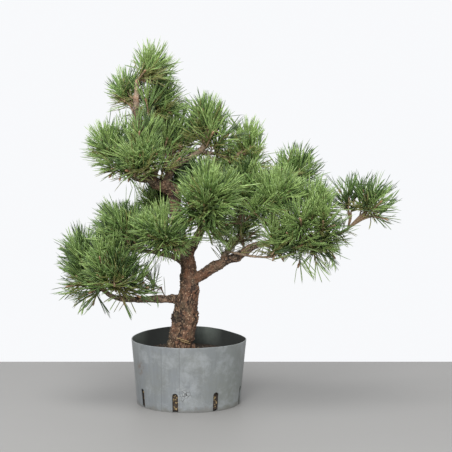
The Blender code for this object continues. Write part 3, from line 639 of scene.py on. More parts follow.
def wood_at(places, reach=3 * MM):
    """For each place: how far it lies outside the nearest limb, that limb's radius, and the place's
    coordinates on the bark, in plates. Places beyond the reach of every limb get a large distance."""
    gap = np.full(len(places), 9.0)
    radius = np.zeros(len(places))
    bark = np.zeros((len(places), 3))
    for row in limb_runs():
        start, run, side = row[:3], row[3:6], row[8:11]
        margin = max(row[6], row[7]) * 1.6 + reach
        low = np.minimum(start, start + run) - margin
        high = np.maximum(start, start + run) + margin
        near = np.flatnonzero(((places > low) & (places < high)).all(1))
        if not len(near):
            continue
        spot = places[near]
        along = np.clip((spot - start) @ run / (run @ run), 0, 1)
        thick = row[6] + (row[7] - row[6]) * along
        away = spot - start - along[:, None] * run
        outside = np.linalg.norm(away, axis=1) - thick
        closer = outside < gap[near]
        chosen = near[closer]
        gap[chosen] = outside[closer]
        radius[chosen] = thick[closer]
        width = plate_width(thick[closer])
        other = np.cross(run / np.linalg.norm(run), side)
        bark[chosen, 0] = away[closer] @ side / width
        bark[chosen, 1] = away[closer] @ other / width
        bark[chosen, 2] = row[11] + row[12] * along[closer]
    return gap, radius, bark


# Growth: shoots of every mass, by the rule of the solids and on to finer ones

class Shoot:
    """A bearing shoot: a curved run from its base to its tip, with a kind of foliage."""

    def __init__(self, root, base, tip, lift, kind, seen):
        self.root = root
        self.base = base
        self.middle = (base + tip) / 2 + lift
        self.tip = tip
        self.kind = kind
        self.seen = seen

    def at(self, share):
        """Places along the shoot."""
        t = np.asarray(share)[:, None]
        return (1 - t) ** 2 * self.base + 2 * t * (1 - t) * self.middle + t ** 2 * self.tip

    def way(self, share):
        """Directions along the shoot."""
        t = np.asarray(share)[:, None]
        return unit((1 - t) * (self.middle - self.base) + t * (self.tip - self.middle))

    def length(self):
        """Length of the run."""
        return float(np.linalg.norm(self.tip - self.base))


def fan(heading, polar, turn):
    """The direction at an angle from a heading, turned round it."""
    side = np.array(Vector(heading).orthogonal().normalized())
    other = unit(np.cross(heading, side))
    return heading * math.cos(polar) + (side * math.cos(turn) + other * math.sin(turn)) * math.sin(polar)


# Painted light and shade in the colour of each spray: brighter in front, on top and to the right, darker in
# the middle
LIGHT_BASE = 0.34
LIGHT_DEPTH_FRONT = 0.28
LIGHT_DEPTH_BACK = 0.36
LIGHT_LEVEL = 0.38
LIGHT_RISE = 0.6
LIGHT_ACROSS = 2.0
LIGHT_SCATTER = 0.4
FRESH_AND_LIT_ABOVE = 0.66
GREEN_ABOVE = 0.12
# Places, their reach, and how much lighter the sprays are painted there, darker where it is below zero
KIND_SPOTS = [
    ((285, -2, 365), 32, -0.9), ((98, 40, 300), 60, 0.5), ((-30, 20, 395), 40, -0.6),
    ((-190, -10, 290), 70, 0.35), ((190, -40, 320), 120, 0.32)]


def foliage_kind(place, rng):
    """Which colour a spray has: deeper inside by painted shade, fresher on the outside and on top by
    painted light over some real fresh growth.
    """
    light = LIGHT_BASE + max(-place[1] / LIGHT_DEPTH_FRONT, place[1] / LIGHT_DEPTH_BACK - 0.1)
    light += (place[2] - LIGHT_LEVEL) / LIGHT_RISE + place[0] / LIGHT_ACROSS
    light += rng.uniform(-LIGHT_SCATTER, LIGHT_SCATTER)
    for spot, reach, lift in KIND_SPOTS:
        light += lift * (np.linalg.norm(place / MM - np.array(spot)) < reach)
    if light > FRESH_AND_LIT_ABOVE:
        return "fresh"
    return "green" if light > GREEN_ABOVE else "deep"


SEEN_BOW = 2 * MM
REAR_BOW = 3 * MM
LEAST_OFFSET = 10 * MM
WIDEST_FAN = math.radians(150)


def mass_shoots(name):
    """The stem and the shoots of one mass: first those that show from the front, then the rest by rule."""
    carrier, middle, reach = MASSES[name]
    middle = np.array(middle, float) * MM
    reach = np.array(reach, float) * MM * CROWN_FULLNESS
    rng = rng_for(name)
    start, way = all_limbs()[carrier].tip()
    fork = start + (middle - start) * STEM_SHARES.get(name, STEM_SHARE)
    heading = unit(unit(middle - fork) + UP * SHOOT_LIFT)
    shoots = []
    for spots in SEEN_SHOOTS.get(name, ()):
        base, tip = np.array(spots[:3]) * MM, np.array(spots[3:]) * MM
        shoots.append(Shoot(fork, base, tip, heading * SEEN_BOW, foliage_kind(tip, rng), True))
    shown = len(shoots)
    wanted = FEW_BEHIND.get(name, REAR_SHOOTS) if shown else HIDDEN_SHOOTS
    index = 0
    while len(shoots) < shown + wanted:
        polar = FINE_SPREAD * math.sqrt((index + SHOOT_FIRST_SHARE) / (2 * wanted if shown else wanted))
        turn = index * GOLDEN_TURN + rng.uniform(-SHOOT_TURN_SPREAD, SHOOT_TURN_SPREAD)
        index += 1
        if polar > WIDEST_FAN:
            break
        aim = fan(heading, polar, turn)
        if shown and aim[1] < REAR_FROM:
            continue
        offset = max(1 / np.linalg.norm(aim / reach) - TIP_INSET, LEAST_OFFSET)
        tip = middle + unit(aim + UP * SHOOT_TIP_LIFT) * offset
        along = unit(aim * 0.8 + heading * 0.5 + UP * 0.15)
        base = tip - along * SHOOT_LENGTH * rng.uniform(0.85, 1.15)
        shoots.append(Shoot(fork, base, tip, heading * REAR_BOW, foliage_kind(tip, rng), False))
    return start, way, fork, shoots


@functools.lru_cache
def all_growth():
    """The stem, fork and shoots of every mass."""
    return {name: mass_shoots(name) for name in MASSES}


def inside_reach(places, slack):
    """Which places lie within the reach of some mass, each with a little slack of its own."""
    kept = np.zeros(len(places), bool)
    rooms = [(middle, reach) for _, middle, reach in MASSES.values()] + BOUGH_REACH
    for middle, reach in rooms:
        away = (places - np.array(middle) * MM) / (np.array(reach) * MM * CROWN_FULLNESS)
        kept |= (away * away).sum(1) < slack * slack
    return kept


def under_open_sky(places):
    """Which places lie where the sky shows through the crown from the front."""
    eye = np.array(CAMERA_PLACE)
    ways = places - eye
    flat = (eye + ways * (-eye[1] / ways[:, 1])[:, None]) / MM
    found = np.zeros(len(places), bool)
    for (x, z), (wide, high) in OPEN_SKY:
        found |= ((flat[:, 0] - x) / wide) ** 2 + ((flat[:, 2] - z) / high) ** 2 < 1
    return found


# Needles

NEEDLE_ANGLES = (74.0, 21.0)
NEEDLE_SCATTER = 11.0
NEEDLE_BEND = (0.10, 0.12)
NEEDLE_WAVER = 0.10
NEEDLE_SAG = 0.10
PAIR_SPLIT = math.radians(1.3)
OLD_SHARE = 0.2
CLUMP = 4
# Shares of the clumps that are lighter than their spray, like it, and darker
CLUMP_KINDS = (0.35, 0.41, 0.24)
HANGING_RADIUS = 4.4 * MM
HANGING_SPACING = 1.7 * MM
NEEDLE_RINGS = ((0.0, 0.8), (0.45, 1.0), (0.86, 0.88))
NEEDLE_TRIANGLES = 16


def paired(root, aim, length, bend, rng):
    """Two needles from each root, a little apart."""
    across = unit(np.cross(aim, rng.normal(0, 1, aim.shape)))
    spread = across * np.tan(PAIR_SPLIT * rng.uniform(0.2, 1.8, len(aim)))[:, None]
    both = [(root, unit(aim + sign * spread), length * rng.normal(1, 0.02, len(aim)), bend)
            for sign in (1, -1)]
    return [np.concatenate(parts) for parts in zip(*both)]


def round_about(way, turn):
    """Directions across a run, turned round it."""
    side = unit(np.cross(way, UP + 0.01))
    other = np.cross(way, side)
    return side * np.cos(turn)[:, None] + other * np.sin(turn)[:, None]


def shoot_needles(shoot, rng, density):
    """Root, direction, length and bend of every needle of one shoot, and which are old ones."""
    count = max(int(shoot.length() / sizes().needle_spacing * density), 10)
    share = np.sort(rng.random(count) ** 0.85)
    root = shoot.at(share)
    way = shoot.way(share)
    clump = np.arange(count) // CLUMP
    out = round_about(way, clump * GOLDEN_TURN + rng.normal(0, 0.24, count))
    angle = NEEDLE_ANGLES[0] + (NEEDLE_ANGLES[1] - NEEDLE_ANGLES[0]) * share ** 0.7
    angle += rng.normal(0, NEEDLE_SCATTER, count)[clump] + rng.normal(0, 0.35 * NEEDLE_SCATTER, count)
    angle = np.radians(angle)
    aim = unit(way * np.cos(angle)[:, None] + out * np.sin(angle)[:, None] + UP * 0.03)
    length = sizes().needle_length * (0.88 + 0.14 * np.sqrt(share)) * rng.normal(1, 0.04, count)
    length *= rng.normal(1, 0.08, count)[clump]
    level = 1 - np.abs(aim[:, 2])
    bend = way * rng.normal(*NEEDLE_BEND, count)[:, None] + rng.normal(0, NEEDLE_WAVER, (count, 3))
    bend -= UP * (NEEDLE_SAG * level * (1.2 - share))[:, None]
    parts = paired(root, aim, length, bend * length[:, None], rng)
    old = share < OLD_SHARE * rng.uniform(0.4, 1.4)
    return parts + [np.concatenate([old, old])]


def hanging_needles(limb, rng):
    """The sparse old needles that the outer part of a thin bough still carries."""
    slim = limb.radii < HANGING_RADIUS
    run = limb.route[slim]
    if limb.name == "trunk" or len(run) < 4:
        return None
    length_along = np.linalg.norm(np.diff(run, axis=0), axis=1).sum()
    count = int(length_along / HANGING_SPACING)
    share = rng.random(count) * (len(run) - 1.001)
    low = share.astype(int)
    step = (share - low)[:, None]
    root = run[low] * (1 - step) + run[low + 1] * step
    way = unit(run[low + 1] - run[low])
    out = round_about(way, rng.uniform(0, math.tau, count))
    angle = np.radians(rng.normal(62, 12, count))
    aim = unit(way * np.cos(angle)[:, None] + out * np.sin(angle)[:, None] - UP * 0.15)
    length = sizes().needle_length * rng.normal(0.84, 0.08, count)
    bend = rng.normal(0, 0.05, (count, 3)) - UP * 0.12
    return paired(root, aim, length, bend * length[:, None], rng) + [np.ones(2 * count, bool)]


def keep_needles(root, aim, length, bend, stray_share, rng):
    """Which needles keep to the crown's reach, off the wood, and mostly out of the open sky."""
    middle = root + aim * length[:, None] * 0.55 + bend * 0.3
    tip = root + aim * length[:, None] + bend
    slack = rng.normal(*REACH_SLACK, len(root))
    kept = inside_reach(middle, slack) & inside_reach(tip, slack)
    strays = rng.random(len(root)) < stray_share
    for places in (middle, tip):
        kept &= wood_at(places)[0] > 0.8 * MM
        kept &= ~under_open_sky(places) | strays
    return kept


def needle_arrays(root, aim, length, bend, rng):
    """Places and faces of needles: three-sided, gently curved, running out to a point."""
    count = len(root)
    side = unit(np.cross(aim, rng.normal(0, 1, (count, 3))))
    other = np.cross(aim, side)
    half = sizes().needle_width / 2
    rings = []
    for share, wide in NEEDLE_RINGS:
        centre = root + aim * (length * share)[:, None] + bend * share ** 2
        for corner in range(3):
            turn = corner * math.tau / 3
            rings.append(centre + wide * half * (side * math.cos(turn) + other * math.sin(turn)))
    tip = root + aim * length[:, None] + bend
    places = np.stack(rings + [tip], axis=1).reshape(-1, 3)
    first = np.arange(count)[:, None] * 10
    quads = np.array([[0, 1, 4, 3], [1, 2, 5, 4], [2, 0, 3, 5], [3, 4, 7, 6], [4, 5, 8, 7], [5, 3, 6, 8]])
    triangles = np.array([[6, 7, 9], [7, 8, 9], [8, 6, 9], [2, 1, 0]])
    return places, (first + quads.ravel()).reshape(-1, 4), (first + triangles.ravel()).reshape(-1, 3)


def grown_needles():
    """Every needle of the plant, sorted by its kind of foliage."""
    kinds = {"fresh": [], "green": [], "deep": [], "old": []}
    rng = np.random.default_rng(GROWTH_SEED)
    batches = []
    for name, (_, _, _, shoots) in all_growth().items():
        for shoot in shoots:
            density = SPARSE_MASSES.get(name, 1.0) * (1.0 if shoot.seen else REAR_DENSITY)
            density *= LOW_DENSITY if shoot.tip[2] < LOW_LEVEL else 1.0
            batches.append((shoot.kind, name in STRAY_MASSES, shoot_needles(shoot, rng, density)))
    for limb in all_limbs().values():
        needles = hanging_needles(limb, rng)
        if needles:
            batches.append(("deep", False, needles))
    # From painted light through plain green to painted shade
    order = ("fresh", "green", "deep")
    for kind, stray, (root, aim, length, bend, old) in batches:
        kept = keep_needles(root, aim, length, bend, 1.0 if stray else OPEN_SKY_KEPT, rng)
        clump = np.arange(len(root)) % (len(root) // 2) // CLUMP
        step = rng.choice(3, len(root), p=CLUMP_KINDS)[clump] - 1
        rank = np.clip(order.index(kind) + step, 0, 2)
        chosen = {name: kept & ~old & (rank == number) for number, name in enumerate(order)}
        chosen["old"] = kept & old
        for name, those in chosen.items():
            kinds[name].append([part[those] for part in (root, aim, length, bend)])
    return {kind: [np.concatenate(parts) for parts in zip(*rows)] for kind, rows in kinds.items()}


# Materials

class Finish:
    """A material in the making: its nodes, its shader, and the colour laid on so far."""

    def __init__(self, name):
        self.material = bpy.data.materials.new(name)
        self.material.use_nodes = True
        self.tree = self.material.node_tree
        self.shader = self.tree.nodes["Principled BSDF"]
        self.places = self.own_places()
        self.face = None

    def feed(self, socket, value):
        """Link another node's output to a socket, or set a constant value there."""
        if isinstance(value, bpy.types.NodeSocket):
            self.tree.links.new(value, socket)
        else:
            socket.default_value = value

    def node(self, kind, inputs=(), **settings):
        """A node with its settings and what its sockets get."""
        node = self.tree.nodes.new(kind)
        for key, value in settings.items():
            setattr(node, key, value)
        for key, value in dict(inputs).items():
            self.feed(node.inputs[key], value)
        return node

    def own_places(self, scale=(1.0, 1.0, 1.0)):
        """The piece's own coordinates, stretched."""
        places = self.node("ShaderNodeTexCoord").outputs["Object"]
        return self.node("ShaderNodeMapping", {"Vector": places, "Scale": scale}).outputs["Vector"]

    def axis(self, number):
        """One of the piece's own coordinates."""
        return self.node("ShaderNodeSeparateXYZ", {"Vector": self.places}).outputs[number]

    def noise(self, scale, detail=3.0, roughness=0.55, distortion=0.0, places=None):
        """Noise over the surface, from 0 to 1."""
        return self.node("ShaderNodeTexNoise", {
            "Vector": self.places if places is None else places, "Scale": scale, "Detail": detail,
            "Roughness": roughness, "Distortion": distortion}).outputs["Fac"]

    def between(self, value, low, high, to_low=0.0, to_high=1.0):
        """A value stretched from one range to another, and clamped."""
        return self.node("ShaderNodeMapRange", {
            "Value": value, "From Min": low, "From Max": high,
            "To Min": to_low, "To Max": to_high}).outputs["Result"]

    def patches(self, low, high, *noise, **more):
        """Patches of noise: nothing where it is below low, full where it is above high."""
        return self.between(self.noise(*noise, **more), low, high)

    def combined(self, first, second, operation="MULTIPLY"):
        """Two values combined."""
        return self.node("ShaderNodeMath", {0: first, 1: second}, operation=operation).outputs[0]

    def mixed(self, share, *pair):
        """Two colours mixed by a share. Each is a colour or another node's output."""
        first, second = [tint if isinstance(tint, bpy.types.NodeSocket) else (*tint, 1.0) for tint in pair]
        return self.node("ShaderNodeMix", {0: share, 6: first, 7: second}, data_type="RGBA").outputs[2]

    def coats(self, *coats):
        """Lay colours over the face, each where its mask is and at most by its share."""
        for mask, share, colour in coats:
            self.face = self.mixed(self.combined(mask, share), self.face, colour)

    def near(self, place, near, far):
        """A mask round one place: 1 inside the near distance, 0 beyond the far one."""
        spot = tuple(number * MM for number in place)
        away = self.node("ShaderNodeVectorMath", {0: self.places, 1: spot}, operation="DISTANCE")
        return self.between(away.outputs["Value"], near * MM, far * MM, 1.0, 0.0)

    def done(self, roughness, height=None, strength=0.0, distance=0.0):
        """The finished material, with fine relief in its shading where a height is given."""
        self.feed(self.shader.inputs["Base Color"], self.face)
        self.feed(self.shader.inputs["Roughness"], roughness)
        if height is not None:
            bump = self.node("ShaderNodeBump", {
                "Strength": strength, "Distance": distance, "Height": height})
            self.feed(self.shader.inputs["Normal"], bump.outputs["Normal"])
        return self.material


def shaded(colour, factor):
    """A colour made lighter or darker."""
    return tuple(min(1.0, channel * factor) for channel in colour)


def needle_material(kind, colour):
    """Satin needles, a little lighter and darker over the crown."""
    needle = Finish("needle_" + kind)
    fine = needle.patches(0.3, 0.7, 260.0, 2.0)
    base = needle.mixed(needle.patches(0.3, 0.7, 22.0), shaded(colour, 0.86), shaded(colour, 1.34))
    needle.face = needle.mixed(fine, shaded(colour, 0.6), base)
    return needle.done(needle.between(fine, 0.0, 1.0, 0.42, 0.30))


BARK_VALUES = ("crack", "plate", "scale", "slim", "lee")
MOSS = (0.105, 0.088, 0.046)
# Colour of the painted shade on the sides of the limbs that face left and back
PAINTED_SHADE_BARK = (0.036, 0.030, 0.016)
RESIN = (0.62, 0.50, 0.36)


def bark_material():
    """Scaly bark: brown plates, some grey and some orange, with flaked edges, dark cracks deepened with
    painted shade, and painted shade on the limbs' left and back sides.
    """
    tints = colours()
    bark = Finish("bark")
    crack, plate, scale, slim, lee = [
        bark.node("ShaderNodeAttribute", attribute_name=name).outputs["Fac"] for name in BARK_VALUES]
    patches = bark.patches(0.38, 0.64, 55.0, 4.0)
    flecks = bark.patches(0.575, 0.65, 340.0, 4.0, 0.65)
    grain = bark.noise(1100.0)
    hollow = bark.between(bark.noise(80.0, 5.0, 0.7), 0.36, 0.48, 1.0, 0.0)
    young = bark.mixed(patches, shaded(tints.bark_young, 0.75), shaded(tints.bark_young, 1.15))
    bark.face = bark.mixed(plate, shaded(tints.bark, 0.34), shaded(tints.bark, 1.95))
    bark.face = bark.mixed(bark.between(slim, 0.0, 0.9, 0.0, 0.85), bark.face, young)
    bark.coats(
        (bark.patches(0.46, 0.62, 38.0, 5.0, 0.65), 0.5, MOSS),
        (bark.patches(0.50, 0.66, 95.0, 3.0, 0.6, 0.5), 0.7, tints.bark_rust),
        (hollow, 0.75, tints.bark_crack),
        # painted shade on the left and back sides of the limbs
        (lee, 0.78, PAINTED_SHADE_BARK),
        (bark.combined(patches, scale), 0.45, tints.bark_flake),
        (flecks, 0.85, shaded(tints.bark_flake, 2.3)),
        # painted shade in the cracks, over the darker bark deep in them
        (bark.between(crack, 0.10, 0.55), 0.97, tints.bark_crack))
    relief = bark.combined(grain, flecks, "ADD")
    return bark.done(bark.between(grain, 0.2, 0.8, 0.75, 0.97), relief, 0.6, 0.6 * MM)


def twig_material():
    """Young shoots: orange-brown and scaly."""
    tint = colours().twig
    twig = Finish("twig_bark")
    scales = twig.noise(700.0, 2.0)
    face = twig.mixed(twig.patches(0.35, 0.65, 70.0), shaded(tint, 0.6), tint)
    twig.face = twig.mixed(twig.between(scales, 0.5, 0.7), face, shaded(tint, 1.5))
    return twig.done(0.75, scales, 0.6, 0.4 * MM)


def bud_material():
    """Buds: reddish brown scales with a pale crust of resin."""
    tint = colours().bud
    bud = Finish("bud_scales")
    scales = bud.noise(900.0, 2.0)
    resin = bud.patches(0.52, 0.7, 300.0)
    bud.face = bud.mixed(bud.between(scales, 0.35, 0.65), shaded(tint, 0.55), tint)
    bud.coats((resin, 0.6, RESIN))
    return bud.done(bud.between(resin, 0.0, 1.0, 0.6, 0.35), scales, 0.5, 0.3 * MM)


# Bark on trunk and boughs

SMOOTHING_ROUNDS = 5
TRUNK_SIDES = 28
BOUGH_SIDES = 16
LUMP_SIZE = 19 * MM
LUMP_HEIGHT = 7 * MM
KNOT_SIZE = 8 * MM
GRAIN_SIZE = 1.7 * MM
ROOT_REACH = 90 * MM

# Swellings and knots: place, reach and height
BURLS = [
    ((-34, -8, 158), 15, 4.0), ((-31, 2, 190), 9, 4.5), ((14, -10, 206), 12, 2.5),
    ((90, -22, 258), 9, 4.5), ((93, -21, 254), 4, 3.5), ((66, -27, 270), 9, 3.5),
    ((-15, -2, 384), 11, 4.0), ((-60, -14, 404), 9, 3.0), ((-18, -14, 122), 12, 2.5),
    ((-92, -36, 548), 6, 1.6), ((-86, -27, 520), 6, 1.6),
]


def limb_skin(limb):
    """One limb as a closed tube with the swellings that a grown limb has."""
    steps = 3
    route = smooth_run(limb.route, steps)
    radii = smooth_run(limb.radii[:, None], steps)[:, 0]
    lumps = soft_noise(route / (16 * MM), 3) - 0.5
    radii = radii * (1 + 0.10 * lumps)
    sides = TRUNK_SIDES if limb.name == "trunk" else BOUGH_SIDES
    places, quads, triangles = tube_arrays(route, radii, sides)
    if limb.name == "trunk":
        height = places[:, 2] - TRUNK_FOOT
        away = places[:, :2] - np.array(TRUNK[0][0][:2]) * MM
        turn = np.arctan2(away[:, 1], away[:, 0])
        lobe = np.cos(FLARE_LOBES * (turn - FLARE_TURN)) * FLARE_DEPTH
        lobe *= np.clip(1 - height / FLARE_HEIGHT, 0, 1.2)
        places[:, :2] += unit(away) * lobe[:, None]
    return places, quads, triangles


def fused_limbs():
    """Trunk and boughs joined into one skin with soft forks."""
    skins = Joined()
    for limb in all_limbs().values():
        skins.add(*limb_skin(limb))
    thing = bpy.data.objects.new("fused_limbs", skins.mesh("fused_limbs"))
    bpy.context.scene.collection.objects.link(thing)
    remesh = thing.modifiers.new("join", "REMESH")
    remesh.mode = "VOXEL"
    remesh.voxel_size = sizes().bark_grid
    smooth = thing.modifiers.new("soften", "SMOOTH")
    smooth.factor = 0.5
    smooth.iterations = SMOOTHING_ROUNDS
    graph = bpy.context.evaluated_depsgraph_get()
    mesh = bpy.data.meshes.new_from_object(thing.evaluated_get(graph))
    bpy.data.objects.remove(thing, do_unlink=True)
    return mesh


def raise_bark(mesh):
    """Push the skin out into plates with cracks between them, and keep what the finish needs of them."""
    places, normals = np.zeros((2, len(mesh.vertices) * 3), np.float32)
    mesh.vertices.foreach_get("co", places)
    mesh.vertices.foreach_get("normal", normals)
    places, normals = [values.reshape(-1, 3).astype(float) for values in (places, normals)]
    _, radius, bark = wood_at(places, 12 * MM)
    girth = np.clip(radius / FULL_GIRTH, 0.2, 1.1)
    warp = np.stack([soft_noise(bark * 0.9, salt) for salt in (21, 22, 23)], axis=1) - 0.5
    small_warp = np.stack([soft_noise(bark * 2.6, salt) for salt in (24, 25, 26)], axis=1) - 0.5
    flat = bark + warp * 1.1 + small_warp * 0.42
    edge, tint, lean = plate_noise(flat, 31)
    small_edge, small_tint, small_lean = plate_noise(flat * 2.3, 51)
    deep = ramp(soft_noise(bark * 0.42, 27), 0.40, 0.72)
    crack = (1 - ramp(edge, 0.02, 0.20)) * (0.12 + 0.88 * deep)
    small_crack = (1 - ramp(small_edge, 0.02, 0.22)) * (0.3 + 0.7 * (1 - deep))
    lumps = soft_noise(places / LUMP_SIZE, 5) - 0.5
    knots = soft_noise(places / KNOT_SIZE, 6) - 0.5
    fine = soft_noise(places / GRAIN_SIZE, 9) - 0.5
    rise = (tint - 0.45) * 0.9 + lean * 0.7 - crack * 1.1 - small_crack * 0.3
    rise += (small_tint - 0.5) * 0.4 + small_lean * 0.3 + knots * 0.9 + fine * 0.35
    push = rise * sizes().bark_relief * girth + lumps * LUMP_HEIGHT * girth ** 0.8
    for place, reach, height in BURLS:
        away = np.linalg.norm(places - np.array(place) * MM, axis=1) / (reach * MM)
        push += height * MM * np.exp(-2 * away ** 2)
    places += normals * push[:, None]
    in_pot = np.linalg.norm(places[:, :2], axis=1) < ROOT_REACH
    places[:, 2] = np.where(in_pot, np.maximum(places[:, 2], TRUNK_FOOT), places[:, 2])
    mesh.vertices.foreach_set("co", places.astype(np.float32).ravel())
    # The crack mask, which the finish fills with painted shade over darker bark
    shade = np.clip(crack + 0.30 * small_crack, 0, 1)
    slim = 1 - ramp(radius, 4.0 * MM, 10.0 * MM)
    # Painted shade: darker on the sides of the limbs that face -X and +Y, broken up by noise
    lee = ramp(soft_noise(bark * 0.7, 61) - normals[:, 0] * 0.9 + normals[:, 1] * 0.3, 0.75, 1.35)
    for name, values in zip(BARK_VALUES, (shade, tint, small_tint, slim, lee)):
        attribute = mesh.attributes.new(name, "FLOAT", "POINT")
        attribute.data.foreach_set("value", values.astype(np.float32))
    mesh.update()
    mesh.shade_smooth()


class PINE_OT_bark(bpy.types.Operator):
    """Bark with relief over the trunk and every bough"""

    bl_idname = "pine.bark"
    bl_label = "Bark"

    def execute(self, context):
        mesh = fused_limbs()
        if not mesh.vertices:
            raise RuntimeError("the limbs did not join into a skin")
        raise_bark(mesh)
        mesh.materials.clear()
        add_piece("bark", mesh, bark_material(), ["trunk", *BOUGHS])
        return {"FINISHED"}


# Twigs and buds

class PINE_OT_twigs(bpy.types.Operator):
    """The stem of every mass and the young shoots on it"""

    bl_idname = "pine.twigs"
    bl_label = "Twigs"

    def execute(self, context):
        joined = Joined()
        for name, (start, way, fork, shoots) in all_growth().items():
            tip_radius = all_limbs()[MASSES[name][0]].radii[-1]
            span = np.linalg.norm(fork - start)
            route = smooth_run([start - way * 2 * MM, start + way * span * 0.5, fork], 5)
            thick = min(2.3 * MM, tip_radius * 0.75)
            joined.add(*tube_arrays(route, np.linspace(tip_radius * 0.96, thick, len(route)), 8))
            for shoot in shoots:
                reach = np.linalg.norm(shoot.base - shoot.root)
                bow = (shoot.root + shoot.base) / 2 + unit(fork - start) * reach * 0.15
                route = np.concatenate([smooth_run([shoot.root, bow, shoot.base], 3)[:-1],
                                        shoot.at(np.linspace(0, 1, 7))])
                joined.add(*tube_arrays(route, np.linspace(thick * 0.95, thick * 0.6, len(route)), 7))
        add_piece("twigs", joined.mesh("twigs"), twig_material(), list(MASSES))
        return {"FINISHED"}


def bud_arrays(place, way, length):
    """A bud: a slim egg whose scales stand out in rings."""
    shares = np.linspace(0, 1, 8)
    radii = 0.23 * length * np.sin(math.pi * np.clip(shares * 0.86 + 0.1, 0, 1)) ** 0.7
    radii *= 1 + 0.10 * (np.arange(8) % 2)
    route = place + np.outer(shares * length - 0.15 * length, way)
    return tube_arrays(route, radii, 7)


class PINE_OT_buds(bpy.types.Operator):
    """A bud on the tip of every shoot"""

    bl_idname = "pine.buds"
    bl_label = "Buds"

    def execute(self, context):
        joined = Joined()
        rng = rng_for("buds")
        for _, _, _, shoots in all_growth().values():
            for shoot in shoots:
                length = sizes().bud_length * rng.uniform(0.75, 1.15)
                joined.add(*bud_arrays(shoot.tip, shoot.way([1.0])[0], length))
        add_piece("buds", joined.mesh("buds"), bud_material())
        return {"FINISHED"}


class PINE_OT_needles(bpy.types.Operator):
    """Paired needles on every shoot, in pieces by their colour"""

    bl_idname = "pine.needles"
    bl_label = "Needles"

    def execute(self, context):
        rng = np.random.default_rng(GROWTH_SEED + 1)
        total = 0
        for kind, parts in grown_needles().items():
            material = needle_material(kind, getattr(colours(), kind))
            batch = PIECE_TRIANGLES // NEEDLE_TRIANGLES
            for number, first in enumerate(range(0, len(parts[0]), batch)):
                chosen = [part[first:first + batch] for part in parts]
                places, quads, triangles = needle_arrays(*chosen, rng)
                mesh = mesh_from_arrays("needles", places, [quads, triangles])
                add_piece(f"needles_{kind}_{number + 1}", mesh, material, list(MASSES))
                total += len(chosen[0])
        if not total:
            raise RuntimeError("no needle found room")
        print("needles", total)
        return {"FINISHED"}


# Pot

POT_SIDES = 224
POT_ROWS = 26
SLOT_ARC_STEPS = 14
RIM_WAVE = 0.8 * MM
RIM_RAGGED = 0.6 * MM
RIM_BACK_RISE = 3.5 * MM
SEAMS = (-46.5, -14.5)


def rim_shift(turn):
    """How far the pot's rim stands out of round, at an angle from +X."""
    dent = (turn - DENT_TURN + math.pi) % math.tau - math.pi
    corner = (turn - CORNER_TURN + math.pi) % math.tau - math.pi
    raised = CORNER_DEPTH * np.exp(-(corner / CORNER_SPREAD) ** 2)
    return raised - DENT_DEPTH * np.exp(-(dent / DENT_SPREAD) ** 2)


def out_of_round(places):
    """Places of a turned shape pushed out of round, more the higher they are."""
    across = np.linalg.norm(places[:, :2], axis=1)
    turn = np.arctan2(places[:, 1], places[:, 0])
    share = places[:, 2] / POT_HEIGHT * across / POT_RIM_RADIUS
    grow = np.where(across > 1e-6, 1 + rim_shift(turn) * share / np.maximum(across, 1e-6), 1)
    return np.column_stack([places[:, :2] * grow[:, None], places[:, 2]])


def turned_arrays(profile, sides):
    """A solid turned round +Z from a profile that starts and ends on the axis."""
    turns = np.arange(sides) * math.tau / sides
    rings = [np.column_stack([across * np.cos(turns), across * np.sin(turns), np.full(sides, height)])
             for across, height in profile[1:-1]]
    ends = np.array([[0, 0, profile[0][1]], [0, 0, profile[-1][1]]])
    quads, triangles = ring_faces(len(rings), sides)
    return np.concatenate(rings + [ends]), quads[:, [0, 3, 2, 1]], triangles[:, [0, 2, 1]]


def pot_profile():
    """The pot's section from the middle of its floor, up inside, over the rim and down outside."""
    lean = (POT_RIM_RADIUS - POT_FOOT_RADIUS) / POT_HEIGHT
    heights = np.linspace(POT_FLOOR, POT_HEIGHT - 0.5 * MM, POT_ROWS)
    inside = [(POT_FOOT_RADIUS + lean * height - POT_WALL, height) for height in heights]
    outside = [(POT_FOOT_RADIUS + lean * height, height) for height in heights[::-1]]
    rim = [(POT_RIM_RADIUS - 0.7 * POT_WALL, POT_HEIGHT), (POT_RIM_RADIUS - 0.3 * POT_WALL, POT_HEIGHT)]
    foot = [(POT_FOOT_RADIUS, 0.4 * MM), (POT_FOOT_RADIUS - 0.5 * MM, 0.0)]
    return [(0.0, POT_FLOOR)] + inside + rim + outside + foot + [(0.0, 0.0)]


def slot_angle(index):
    """The angle at which a slot lies."""
    return SLOT_TURN + math.tau * index / SLOT_COUNT - math.pi / 2


def slot_cutter(index, collection):
    """A tool with the outline of a drain slot: upright sides and a round top."""
    half = SLOT_WIDTH / 2
    outline = [(-half, -SLOT_HEIGHT), (half, -SLOT_HEIGHT)]
    for step in range(SLOT_ARC_STEPS + 1):
        turn = math.pi * step / SLOT_ARC_STEPS
        outline.append((half * math.cos(turn), SLOT_HEIGHT - half + half * math.sin(turn)))
    shape = bmesh.new()
    depth = 6 * POT_WALL
    corners = [shape.verts.new((across, height, -depth)) for across, height in outline]
    face = shape.faces.new(corners)
    grown = bmesh.ops.extrude_face_region(shape, geom=[face])
    moved = [item for item in grown["geom"] if isinstance(item, bmesh.types.BMVert)]
    bmesh.ops.translate(shape, verts=moved, vec=(0, 0, 2 * depth))
    bmesh.ops.recalc_face_normals(shape, faces=shape.faces)
    mesh = bpy.data.meshes.new("slot_cutter")
    shape.to_mesh(mesh)
    shape.free()
    turn = slot_angle(index)
    place = Matrix.Translation((POT_FOOT_RADIUS * math.cos(turn), POT_FOOT_RADIUS * math.sin(turn), 0.0))
    upright = Matrix.Rotation(turn + math.pi / 2, 4, "Z") @ Matrix.Rotation(math.pi / 2, 4, "X")
    mesh.transform(place @ upright)
    thing = bpy.data.objects.new("slot_cutter", mesh)
    collection.objects.link(thing)


